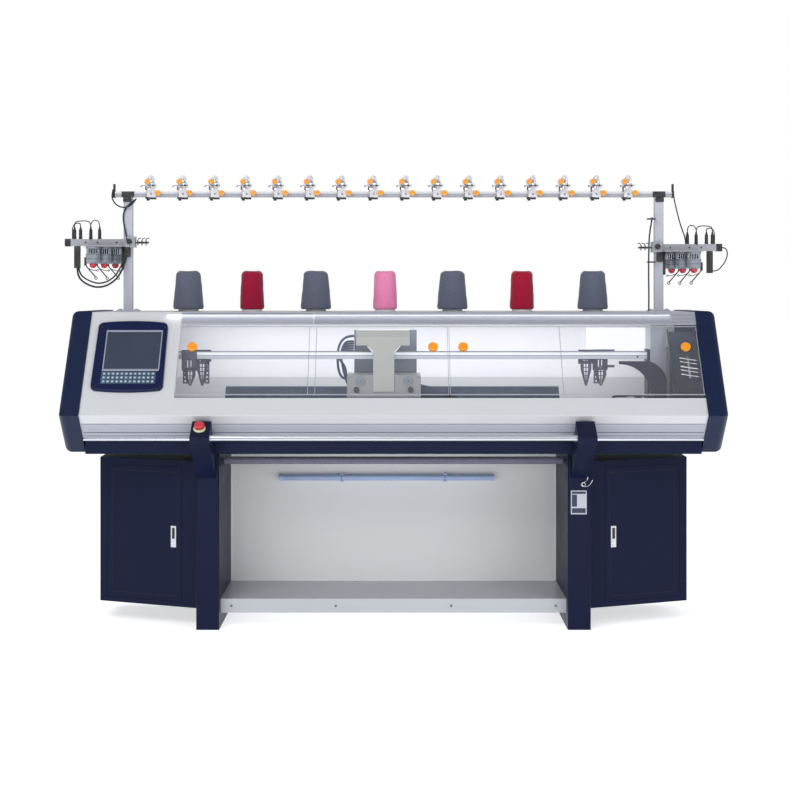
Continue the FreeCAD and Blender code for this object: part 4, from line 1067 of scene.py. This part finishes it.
def bandedRail(name):
    # Anodised rail: a dark top seam, a polished band, then a grey groove painted as shade above a satin foot.
    finish = Finish(name, metallic=0.35)
    height = finish.part(2)
    lines = finish.noise(12, 3, 0.6, (1, 80, 80))
    satin = finish.blend(lines, tone("a9afbb"), tone("c3c9d2"))
    polished = finish.blend(height > 1.0665, satin, tone("eceff4"))
    grooveShade = finish.blend(abs(height - 1.0655) < 0.0014, polished, tone("8b92a0"))
    finish.set(colour=finish.blend(height > 1.0776, grooveShade, tone("7c8290")),
               roughness=finish.spread(lines, 0.3, 0.42))
    finish.relief(lines, 0.05, 0.0002)
    return finish.material


for name in ("front_needle_bed", "rear_needle_bed"):
    dress(name, slottedSteel(name + "_steel"), 0.001)
dress("yarn_rails", bandedRail("bandedRail"), 0.0008)


needleRow = {"count": 165, "first": -666, "pitch": 8, "foot": 938, "raised": 6, "resting": 4.4}


def needles(bm, side):
    # Needle hooks along a bed's upper edge, every second slot; each ninth one stands a little higher.
    y = -30 + side * 6
    foot = needleRow["foot"]
    for k in range(needleRow["count"]):
        x = needleRow["first"] + needleRow["pitch"] * k
        tall = needleRow["resting"] if k % 9 else needleRow["raised"]
        blockOf(bm, x - 0.6, x + 0.6, y - side * 2 - 1.5, y - side * 2 + 1.5, foot, foot + tall)
    blockOf(bm, -669, 659, min(y, y + side * 3), max(y, y + side * 3), foot, foot + 3.2)


makePiece("front_needles", lambda bm: needles(bm, -1), "steel", "ground_steel")
makePiece("rear_needles", lambda bm: needles(bm, 1), "steel", "ground_steel")


cover = {"footY": -190, "footZ": 928, "lean": math.atan2(105, 237), "sheet": 4.15}


def onCover(x, z, w):
    # Height z on the sloping front of the carriage, w out of it.
    a = cover["lean"]
    return at(x, cover["footY"] + (z - cover["footZ"]) * math.tan(a) - w * math.cos(a), z + w * math.sin(a))


def coverBox(bm, x0, x1, z0, z1, w0, w1, slot=0):
    addPrism(bm, [onCover(x0, z0, w0), onCover(x0, z1, w0), onCover(x0, z1, w1), onCover(x0, z0, w1)],
             at(x1 - x0, 0, 0), slot)


def camPatterns(bm):
    # Bolt rings and a bearing cap on each cam box.
    inner = -cover["sheet"]
    out = onCover(0, 0, 1) - onCover(0, 0, 0)
    for x in (-129, 58.6):
        addTurned(bm, onCover(x, 970, inner - 0.5), out, [(0, 0.006), (0.0016, 0.006), (0.0022, 0.005),
                                                          (0.0022, 0.002)], 24)
        for k in range(8):
            a = 2 * math.pi * k / 8 + 0.2
            boltHead(bm, onCover(x + 15 * math.cos(a), 970 + 11 * math.sin(a), inner), out, 0.0028, 0.0018,
                     12)
        addTorus(bm, onCover(x, 970, inner + 0.2), out, 0.0198, 0.0008, 40, 6)
    for x in (-172, 97):
        for z in (920, 984):
            boltHead(bm, onCover(x, z, inner), out, 0.003, 0.0016, 12)


def camSeamsAndShadow(bm):
    # Dark strips: seam lines across the head of the cover, and painted shadow beside its stem and under the
    # rear plate.
    for z in (1143, 1151.5, 1162):
        coverBox(bm, -146, 62, z, z + 1.3, 0.02, 0.2)
    # Painted shadow beside the stem.
    coverBox(bm, 3.4, 5.4, 930, 990, -4.3, -3.4)
    # Painted shadow under the rear plate.
    blockOf(bm, -158, 93, 51.5, 53.8, 991, 996)


def camGussets(bm):
    for inner, outer in ((-80, -106), (3, 29)):
        corners = [(inner, 1107), (outer, 1107), (inner, 1078)]
        outline = [onCover(x, z, -8) for x, z in corners]
        addPrism(bm, outline, onCover(0, 0, -6) - onCover(0, 0, -8))


def handKnobs(bm):
    # Black clamping knobs, ribbed round the rim, each with a socket in its face.
    profile = [(along * mm, radius * mm) for along, radius in ((0, 7), (2, 7), (2, 10.6), (14, 10.6), (16, 9),
                                                               (16, 3.6), (12, 3.4))]
    for x in (-145, 67):
        matrix = axisFrame(onCover(x, 935, -cover["sheet"]), at(0, -16, 7))
        addFluted(bm, matrix, profile, 60, lambda k, r: 0.06 if r > 0.01 and k % 4 < 2 else 0)


def looms(bm):
    # Cables behind and beside the carriage: a looped loom at the left, a laid bundle at the right.
    for k in range(5):
        lift, spread = 9 * k, 5 * k
        addWire(bm, [(-160, 48 - spread, 1118 - lift), (-186 - k, 46 - spread, 1121 - lift),
                     (-204 - 3 * k, 40 - spread, 1104 - lift), (-212 - 2 * k, 26 - spread, 1066 - lift * 0.5),
                     (-206 + 3 * k, 14, 1020), (-196 + 2 * k, 2 + k, 978), (-183, -4 + 3 * k, 944 + 4 * k)],
                0.0042, place=at)
    for k in range(5):
        addWire(bm, [(106, -62 - 3 * k, 946 - 4 * k), (130, -66 - 4 * k, 941 - 5 * k + 3 * (k % 2)),
                     (162, -64 - 4 * k, 930 - 3 * k + 5 * (k % 2)), (196, -70 - 3 * k, 934 - 4 * k),
                     (232 + 6 * k, -72 - 3 * k, 924 - 3 * k)], 0.0056, place=at)
    for x in (136, 214):
        addTorus(bm, at(x, -74, 927), at(1, 0, 0), 0.0135, 0.0016, 18, 6)


finishes["seamAndShadowDark"] = rubber("seamAndPaintedShadow", tone("55575c"), 0.6)
for name, build, finish, slot in (("cam_patterns", camPatterns, "steel", "ground_steel"),
                                  ("cam_seams_and_shadow", camSeamsAndShadow, "seamAndShadowDark", "black_plastic"),
                                  ("cam_gussets", camGussets, "panel", "white_paint"),
                                  ("cam_knobs", handKnobs, "black", "black_plastic"),
                                  ("cam_looms", looms, "cableBlue", "cable_blue")):
    makePiece(name, build, finish, slot, "carriage", "carriage_knobs" if name == "cam_knobs" else None, 45)


# Yarn carriers: the slider, its crank and a slotted blade, with a guide plate beside each blade.
carriers = {"yarn_carrier_1": {"x": -813, "near": -57.15, "face": -1, "lane": -37, "crank": 1005, "guide": -1,
                               "flag": 0}, "yarn_carrier_2": {"x": -765, "near": -46.85, "face": 1,
                                                              "lane": -32.3, "crank": 1030, "guide": 1,
                                                              "flag": 38},
            "yarn_carrier_3": {"x": 770, "near": -13.15, "face": -1, "lane": -27.7, "crank": 1030, "guide": 0,
                               "flag": 0}, "yarn_carrier_4": {"x": 830, "near": -2.85, "face": 1, "lane": -23,
                                                              "crank": 1005, "guide": -1, "flag": 58}}


def carrierBody(bm, c):
    x, low = c["x"], c["crank"]
    y0, y1 = sorted((c["near"], c["near"] + c["face"] * 8))
    blockOf(bm, x - 30, x + 30, y0, y1, 1046, 1087, 1)
    blockOf(bm, x - 30, x - 17, y0, y1, low, 1048, 0.6)
    blockOf(bm, x + 17, x + 30, y0, y1, low, 1048, 0.6)
    blockOf(bm, x - 30, x + 30, y0, y1, low, low + 12, 0.6)
    for dx in (-13, 0, 13):
        blockOf(bm, x + dx - 4.4, x + dx + 4.4, y0 + 2, y1 - 2, low + 11, 1048, 0.4)
    outer = c["near"] + c["face"] * 8
    inner, outerLane = sorted((outer, c["lane"]))
    blockOf(bm, x - 22, x + 22, inner, outerLane, low, low + 6, 0.4)
    if c["flag"]:
        blockOf(bm, x - 12, x + c["flag"], y0, y0 + 3, 1074, 1087.5, 0.5)
        blockOf(bm, x + 6, x + c["flag"], y0, y0 + 3, low + 10, low + 20, 0.5)
    blade0, blade1 = c["lane"] - 1.5, c["lane"] + 1.5
    outlines = [[(-22, low + 6), (-22, low - 20), (-4, 943), (-0.4, 943), (-8.5, low - 22), (-8.5, low + 6)],
                [(22, low + 6), (22, low - 20), (4, 943), (0.4, 943), (8.5, low - 22), (8.5, low + 6)],
                [(-2.4, low + 6), (-2.4, 962), (-0.8, 950), (0.8, 950), (2.4, 962), (2.4, low + 6)]]
    for outline in outlines:
        addPrism(bm, [at(x + dx, blade0, z) for dx, z in outline], at(0, blade1 - blade0, 0))
    for z in range(964, int(low), 17):
        blockOf(bm, x - 9, x + 9, blade0 + 0.4, blade1 - 0.4, z, z + 3.5)
    if c["guide"]:
        # The perforated plate beside the blade.
        left, right = sorted((x + c["guide"] * 9, x + c["guide"] * 29))
        for p, q in ((left, left + 4), (right - 4, right)):
            blockOf(bm, p, q, blade0, blade1, 952, low + 6)
        z = 952
        while z < low + 2:
            blockOf(bm, left, right, blade0, blade1, z, z + 4)
            addTorus(bm, at((left + right) / 2, c["lane"], z + 10), at(0, 1, 0), 0.0058, 0.0015, 20, 6)
            z += 16


def carrierFittings(bm, c):
    # Screws, and the yarn tube with its eyelet.
    x, low = c["x"], c["crank"]
    face = c["near"] + c["face"] * 8
    for dx in (-23, -8, 8, 23):
        boltHead(bm, at(x + dx, face, 1079), at(0, c["face"], 0), 0.0027, 0.0015, 12)
    for dx in (-24, 24):
        boltHead(bm, at(x + dx, face, low + 6), at(0, c["face"], 0), 0.0024, 0.0013, 12)
    addTorus(bm, at(x, c["lane"], low + 13), at(0, 1, 0), 0.004, 0.0011, 20, 6)
    addWire(bm, [(x, c["lane"], low + 8), (x, c["lane"] - 1, low - 30), (x, c["lane"], 952),
                 (x, c["lane"], 943.6)], 0.0012, place=at)


for name, c in carriers.items():
    makePiece(name + "_head", lambda bm: carrierBody(bm, c), "carrier", "carrier_steel", name, name)
    makePiece(name + "_fittings", lambda bm: carrierFittings(bm, c), "steel", "ground_steel", name)


# Right end of the hood: partition, dark cover, drive rods, lower seal and a loose cable.
print("stage: hood interior")
finishes["partition"] = paint("partitionPaint", tone("9092a0"), 0.4, 700, 0.08, 0.06, sheen=0.3)


def darkLiner(name):
    # A dark cover painted lighter towards its top: painted light falling from above. The smear is random
    # tone.
    finish = Finish(name, specular=0.1)
    rise = finish.spread(finish.part(2), 0, 1, 0.96, 1.15)
    smear = finish.noise(6, 3, 0.6, (3, 1, 1))
    deep = finish.blend(smear, tone("0c121f"), tone("1b2333"))
    finish.set(colour=finish.blend(rise, deep, tone("303a50")), roughness=finish.spread(smear, 0.2, 0.45))
    finish.relief(finish.noise(500, 2), 0.08, 0.0002)
    return finish.material


def partitions(bm):
    blockOf(bm, 1021.5, 1083, -71.5, -69, 700, 1195, 0.4)
    blockOf(bm, 1079, 1083, -73.5, -71.5, 700, 1195, 0.3)
    for z in (960, 1080, 1165):
        boltHead(bm, at(1029, -71.5, z), at(0, -1, 0), 0.0028, 0.0016, 12)


def driveCover(bm):
    slopeBox(bm, 1.086, 1.1975, 0.012, 0.342, -0.043, -0.040, 0.0006)
    slopeBox(bm, 1.086, 1.0895, 0.012, 0.342, -0.040, -0.020, 0.0006)


def driveRods(bm):
    for v, radius in ((0.205, 0.0035), (0.188, 0.0028), (0.165, 0.0045), (0.148, 0.003), (0.128, 0.0035)):
        addRod(bm, onSlope(1.122, v, -0.026), onSlope(1.195, v - 0.014, -0.026), radius, 16, 0, 0.001)
    slopeBox(bm, 1.150, 1.158, 0.108, 0.212, -0.036, -0.024, 0.001)


def hoodSeal(bm):
    slopeBox(bm, 1.0, 1.1965, 0.0085, 0.0125, -0.0062, -0.0052)
    addWire(bm, [(0.842, 0.013, -0.012), (0.862, 0.018, -0.013), (0.885, 0.015, -0.012),
                 (0.915, 0.023, -0.014), (0.945, 0.018, -0.012), (0.97, 0.020, -0.013),
                 (1.03, 0.013, -0.012)], 0.0045, place=onSlope)
    boltHead(bm, at(972, -57.2, 1060), at(0, -1, 0), 0.0038, 0.0016)


for row in (("hood_partition", partitions, "partition", "white_paint"),
            ("hood_drive_cover", driveCover, darkLiner("darkLiner"), "black_plastic"),
            ("hood_drive_rods", driveRods, "chrome", "chrome"),
            ("hood_seal", hoodSeal, "black", "black_plastic")):
    makePiece(*row)


def frostedRear(name):
    # Rear sheet: frosted, with a clear inspection panel near the right end.
    finish = Finish(name, ior=1.49, specular=0.3)
    x, z = finish.part(0), finish.part(2)
    clear = (abs(x - 0.95) < 0.127) * (abs(z - 1.11) < 0.056)
    cloud = finish.noise(4, 3)
    finish.set(colour=finish.blend(cloud, tone("e9eaf1"), tone("f6f6fa")),
               alpha=0.8 - clear * 0.76 + cloud * 0.04, roughness=finish.spread(cloud, 0.3, 0.5))
    return finish.material


dress("rear_window", frostedRear("frostedRear"))


# Stand: lamp, panel beads, leg slots, rating plate, hook, door gaskets and lever keyways.
print("stage: stand")


def shadedLineBar(name):
    # Extruded bar with a dark line painted along its middle height: painted shade standing for a groove.
    finish = Finish(name, metallic=0.9, anisotropic=0.4)
    lines = finish.noise(14, 4, 0.6, (2, 90, 90))
    grooveShade = abs(finish.part(2) - 0.767) < 0.0013
    finish.set(colour=finish.blend(grooveShade, finish.blend(lines, tone("c6c9d3"), tone("e2e4ea")),
                                   tone("565a66")), roughness=finish.spread(lines, 0.22, 0.36))
    finish.relief(lines, 0.06, 0.0002)
    return finish.material


def rackMetal(name):
    # The rack beam: satin below, a paler upper lip.
    finish = Finish(name, specular=0.3)
    lines = finish.noise(6, 2, 0.5, (1, 3, 3))
    satin = finish.blend(lines, tone("989aa2"), tone("a6a8af"))
    finish.set(colour=finish.blend(finish.part(2) > 1.7305, satin, tone("cfd2d8")),
               roughness=finish.spread(lines, 0.36, 0.46))
    finish.relief(lines, 0.03, 0.0002)
    return finish.material


dress("start_bar", shadedLineBar("barWithPaintedGrooveShade"))
dress("rack_beam", rackMetal("rackMetal"), 0.001)
dress("feeder_bars", rackMetal("feederBarMetal"), 0.0008)
dress("work_lamp", moulding("lampTube", tone("b0c6ee"), 0.22, 0.4), 0.0005)


def lampEnds(bm):
    # Black end plug and the two spring clips.
    addTurned(bm, at(-477.6, 249, 545), (1, 0, 0), [(0, 0.006), (0.0005, 0.0128), (0.012, 0.0128),
                                                    (0.0125, 0.0122)], 32)
    for x in (-215, 215):
        blockOf(bm, x - 7, x + 7, 248, 256, 556.5, 560, 0.6)
        addTorus(bm, at(x, 249, 545), at(1, 0, 0), 0.0128, 0.0011, 32, 6)


def panelBeads(bm):
    for side in (-1, 1):
        x0, x1 = sorted((side * 673.5, side * 679.5))
        blockOf(bm, x0, x1, 269.2, 271.2, 112, 689, 0.4)
    blockOf(bm, -673, 673, 268.6, 271.2, 111.2, 115.5, 0.4)


def shelfScrews(bm):
    for x in (-638, -227, 227, 638):
        boltHead(bm, at(x, -139, 83), at(0, -1, 0), 0.0052, 0.0016)


def legDetails(bm):
    # Dark guide slots and cable grommets on the legs.
    for side in (-1, 1):
        x0, x1 = sorted((side * 680.6, side * 679.4))
        blockOf(bm, x0, x1, -152.5, -145.5, 578.5, 617.5, 0.3)
        addTorus(bm, at(side * 679.4, -148, 640), at(1, 0, 0), 0.007, 0.0012, 24, 6)


plate = {"x": (691.5, 753.5), "z": (451, 544), "y": -199}


def ratingPlate(bm):
    # A blank rating plate: rounded sheet, plain printed fields and four rivets.
    (x0, x1), (z0, z1), y = plate["x"], plate["z"], plate["y"]
    blockOf(bm, x0, x1, y - 1.2, y - 0.1, z0, z1, 1.0, 0)
    for a, b, c, d in ((4, 58, 80, 89), (4, 24, 30, 77), (4, 58, 5, 24)):
        blockOf(bm, x0 + a, x0 + b, y - 1.5, y - 1.2, z0 + c, z0 + d, 0.1, 1)
    for dx in (3, x1 - x0 - 3):
        for dz in (3, z1 - z0 - 3):
            addTurned(bm, at(x0 + dx, y - 1.2, z0 + dz), (0, -1, 0),
                      [(0, 0.0016), (0.0007, 0.0013), (0.001, 0.0006)], 12, 0)


def wireHook(bm):
    addWire(bm, [(757, -203, 597), (756, -206, 584), (741, -208, 578), (733, -209, 568), (742, -210, 560),
                 (757, -210, 562), (768, -210, 572), (775, -210, 586)], 0.0017, 10, place=at)
    addTorus(bm, at(739, -209, 569), at(0, 1, 0), 0.008, 0.0014, 24, 8)


door = {"outer": (-1182, 22), "along": (0.92278, -0.38532), "out": (-0.38532, -0.92278), "hingeStile": 34,
        "latchStile": 70, "gap": 0.8, "pressing": 20.2, "foot": 95.8, "head": 626.2, "line": 1.6}


def onDoor(side, across, z, w):
    # Distance from the cabinet's outer edge, height and distance out of the slanted front.
    f = door
    return at(side * (f["outer"][0] + f["along"][0] * across + f["out"][0] * w) * -1,
              f["outer"][1] + f["along"][1] * across + f["out"][1] * w, z)


def doorBlock(bm, side, a0, a1, z0, z1, w0, w1, slot=0):
    corners = [onDoor(side, a, z, w0) for a, z in ((a0, z0), (a1, z0), (a1, z1), (a0, z1))]
    addPrism(bm, corners, onDoor(side, 0, 0, w1) - onDoor(side, 0, 0, w0), slot)


doorWidth = math.dist((-770, -150), (-1182, 22))
lever = {"from": doorWidth - door["latchStile"] - 51, "width": 24, "z": (308.5, 393.5)}


def gaskets(bm, side):
    # Fine dark joint inside the pressed outline of a door.
    inset, line = door["gap"] + door["pressing"], door["line"]
    a0, a1 = door["hingeStile"] + inset, doorWidth - door["latchStile"] - inset
    z0, z1 = door["foot"] + door["pressing"], door["head"] - door["pressing"]
    for box in ((a0, a0 + line, z0, z1), (a1 - line, a1, z0, z1), (a0, a1, z0, z0 + line),
                (a0, a1, z1 - line, z1)):
        doorBlock(bm, side, *box, -0.75, -0.35)


def leverParts(bm, side):
    # Recessed grip, keyed barrel and pivot on the locking lever.
    a, w = lever["from"], lever["width"]
    z0, z1 = lever["z"]
    doorBlock(bm, side, a + 6, a + w - 6, z0 + 34, z1 - 8, -0.12, 0.05, 1)
    doorBlock(bm, side, a + 5, a + w - 5, z0 + 31, z0 + 33, -0.2, 0.6)
    doorBlock(bm, side, a + 5, a + w - 5, z1 - 7, z1 - 5, -0.2, 0.6)
    out = onDoor(side, 0, 0, 1) - onDoor(side, 0, 0, 0)
    centre = onDoor(side, a + w / 2, z0 + 17, 0)
    addTurned(bm, centre - out * 1.4, out, [(0, 0.0062), (0.0016, 0.0062), (0.0022, 0.0055),
                                            (0.0022, 0.0015)], 28, 2)
    doorBlock(bm, side, a + w / 2 - 0.8, a + w / 2 + 0.8, z0 + 13.5, z0 + 20.5, 0.75, 0.9, 1)


finishes["plateField"] = paint("plateField", tone("3b4255"), 0.45, 1200, 0.05, 0.05, sheen=0.2)
finishes["doorJoint"] = rubber("doorJoint", tone("070a16"), 0.6)
finishes["barrel"] = plated("lockBarrel", tone("eceef2"), 0.2)
for row in (("lamp_fittings", lampEnds, "black", "black_plastic"),
            ("panel_beads", panelBeads, paint("beadPaint", tone("f6f7f9"), 0.4, 700, 0.06, 0.02),
             "white_paint"),
            ("shelf_screws", shelfScrews, "steel", "ground_steel"),
            ("leg_slots", legDetails, "black", "black_plastic"),
            ("rating_plate", ratingPlate, paint("plateSheet", tone("b4b8c2"), 0.4, 900, 0.05, 0.04),
             "bright_metal",
             "frame", None, 35, ["plateField"]),
            ("wire_hook", wireHook, "chrome", "chrome")):
    makePiece(*row)
for side, word in ((1, "left"), (-1, "right")):
    makePiece(word + "_door_gasket", lambda bm: gaskets(bm, side), "doorJoint", "black_plastic",
              word + "_door")
    makePiece(word + "_lever_lock", lambda bm: leverParts(bm, side), "chrome", "chrome", word + "_lock_lever",
              parts=["black", "barrel"])


# Stop button: a ribbed mushroom cap over its collar, with a plain index ring.
stop = {"place": at(-734, -394, 798.2), "axis": Vector((0, -0.495, 0.869)), "capRadius": 0.0262, "ribs": 36,
        "ringRadius": 0.0205, "studs": 4}


def stopCap(bm):
    edge = stop["capRadius"]
    profile = [(0.0121, 0.012), (0.0122, 0.0185), (0.0135, 0.0192), (0.018, 0.0192), (0.021, 0.0186),
               (0.0242, 0.0165), (0.0258, 0.0125), (edge, 0.006), (edge, 0.001)]
    addTurned(bm, stop["place"], stop["axis"], profile, 48)
    matrix = axisFrame(stop["place"], stop["axis"])
    for k in range(stop["ribs"]):
        a = 2 * math.pi * k / stop["ribs"]
        low, high = (matrix @ Vector((0.0191 * math.cos(a), 0.0191 * math.sin(a), z)) for z in (0.014,
                                                                                                0.0178))
        addRod(bm, low, high, 0.0006, 6)


def stopRing(bm):
    radius = stop["ringRadius"]
    addTorus(bm, stop["place"] + stop["axis"] * 0.0062, stop["axis"], radius, 0.0012, 48, 8)
    for k in range(stop["studs"]):
        a = 2 * math.pi * k / stop["studs"] + 0.4
        foot = axisFrame(stop["place"], stop["axis"]) @ Vector((radius * math.cos(a), radius * math.sin(a),
                                                                0.006))
        addTurned(bm, foot, stop["axis"], [(0, 0.0016), (0.0014, 0.0013), (0.0018, 0.0006)], 12)


makePiece("stop_cap_ribs", stopCap, "red", "red_plastic", "estop_button", smooth=50)
makePiece("stop_index_ring", stopRing, "pale", "pale_plastic", smooth=50)


# Floor, light and camera.
print("stage: floor, light and camera")
studio = {"floor": tone("f6f7f8"), "floorGlow": 0.62, "surround": 0.46, "key": 138, "fill": 62, "rim": 60,
          "low": 18, "hoodLamp": 9.5, "skyTint": (0.95, 0.965, 1, 1)}


def floorPiece():
    mesh = bpy.data.meshes.new("studioFloor")
    mesh.from_pydata([(-60, -60, 0), (60, -60, 0), (60, 60, 0), (-60, 60, 0)], [], [(0, 1, 2, 3)])
    floor = link(bpy.data.objects.new("studioFloor", mesh))
    finish = Finish("floorPaint", glow=(1, 1, 1, 1), glowStrength=studio["floorGlow"], specular=0.1)
    drift = finish.noise(2, 3)
    finish.set(colour=finish.blend(drift, scaled(studio["floor"], 0.98), studio["floor"]),
               roughness=finish.spread(drift, 0.7, 0.8))
    mesh.materials.append(finish.material)


def areaLight(name, place, target, size, power, shade=(1, 1, 1)):
    data = bpy.data.lights.new(name, "AREA")
    data.shape = "RECTANGLE"
    data.size, data.size_y = size
    data.energy = power
    data.color = shade
    lamp = link(bpy.data.objects.new(name, data))
    lamp.location = place
    lamp.rotation_euler = (Vector(target) - Vector(place)).to_track_quat("-Z", "Y").to_euler()
    return lamp


def surround():
    # Soft light from all round, and a plain white backdrop.
    world = bpy.data.worlds.new("studioWorld")
    bpy.context.scene.world = world
    world.use_nodes = True
    tree = world.node_tree
    light = tree.nodes["Background"]
    light.inputs["Color"].default_value = studio["skyTint"]
    light.inputs["Strength"].default_value = studio["surround"]
    backdrop = tree.nodes.new("ShaderNodeBackground")
    chooser = tree.nodes.new("ShaderNodeMixShader")
    rays = tree.nodes.new("ShaderNodeLightPath")
    tree.links.new(rays.outputs["Is Camera Ray"], chooser.inputs[0])
    tree.links.new(light.outputs[0], chooser.inputs[1])
    tree.links.new(backdrop.outputs[0], chooser.inputs[2])
    backdrop.inputs["Color"].default_value = (1, 1, 1, 1)
    tree.links.new(chooser.outputs[0], tree.nodes["World Output"].inputs["Surface"])


floorPiece()
areaLight("keyLight", (-2.6, -5.0, 4.6), (0, 0, 0.8), (3.4, 2.4), studio["key"], (1, 0.99, 0.97))
areaLight("fillLight", (3.6, -4.6, 3.0), (0, 0, 0.8), (3.0, 2.4), studio["fill"], (0.97, 0.98, 1))
areaLight("rimLight", (0.0, 3.6, 3.8), (0, 0, 1.0), (4.0, 1.6), studio["rim"]).visible_glossy = False
areaLight("lowLight", (0.0, -4.4, 1.0), (0, 0.2, 0.4), (2.6, 1.0), studio["low"])
areaLight("hoodLamp", (0.1, 0.12, 1.228), (0.1, 0.12, 0.7), (2.0, 0.4),
          studio["hoodLamp"]).visible_glossy = False
surround()
bpy.context.scene.view_settings.view_transform = "Standard"

view = {"place": (0, -6.75, 1.318), "lens": 76.56, "shift": (0.0019, -0.1304)}
camera = link(bpy.data.objects.new("camera", bpy.data.cameras.new("camera")))
camera.location = view["place"]
camera.rotation_euler = (math.pi / 2, 0, 0)
camera.data.lens = view["lens"]
camera.data.sensor_width = 36
camera.data.shift_x, camera.data.shift_y = view["shift"]
camera.data.clip_end = 200
bpy.context.scene.camera = camera
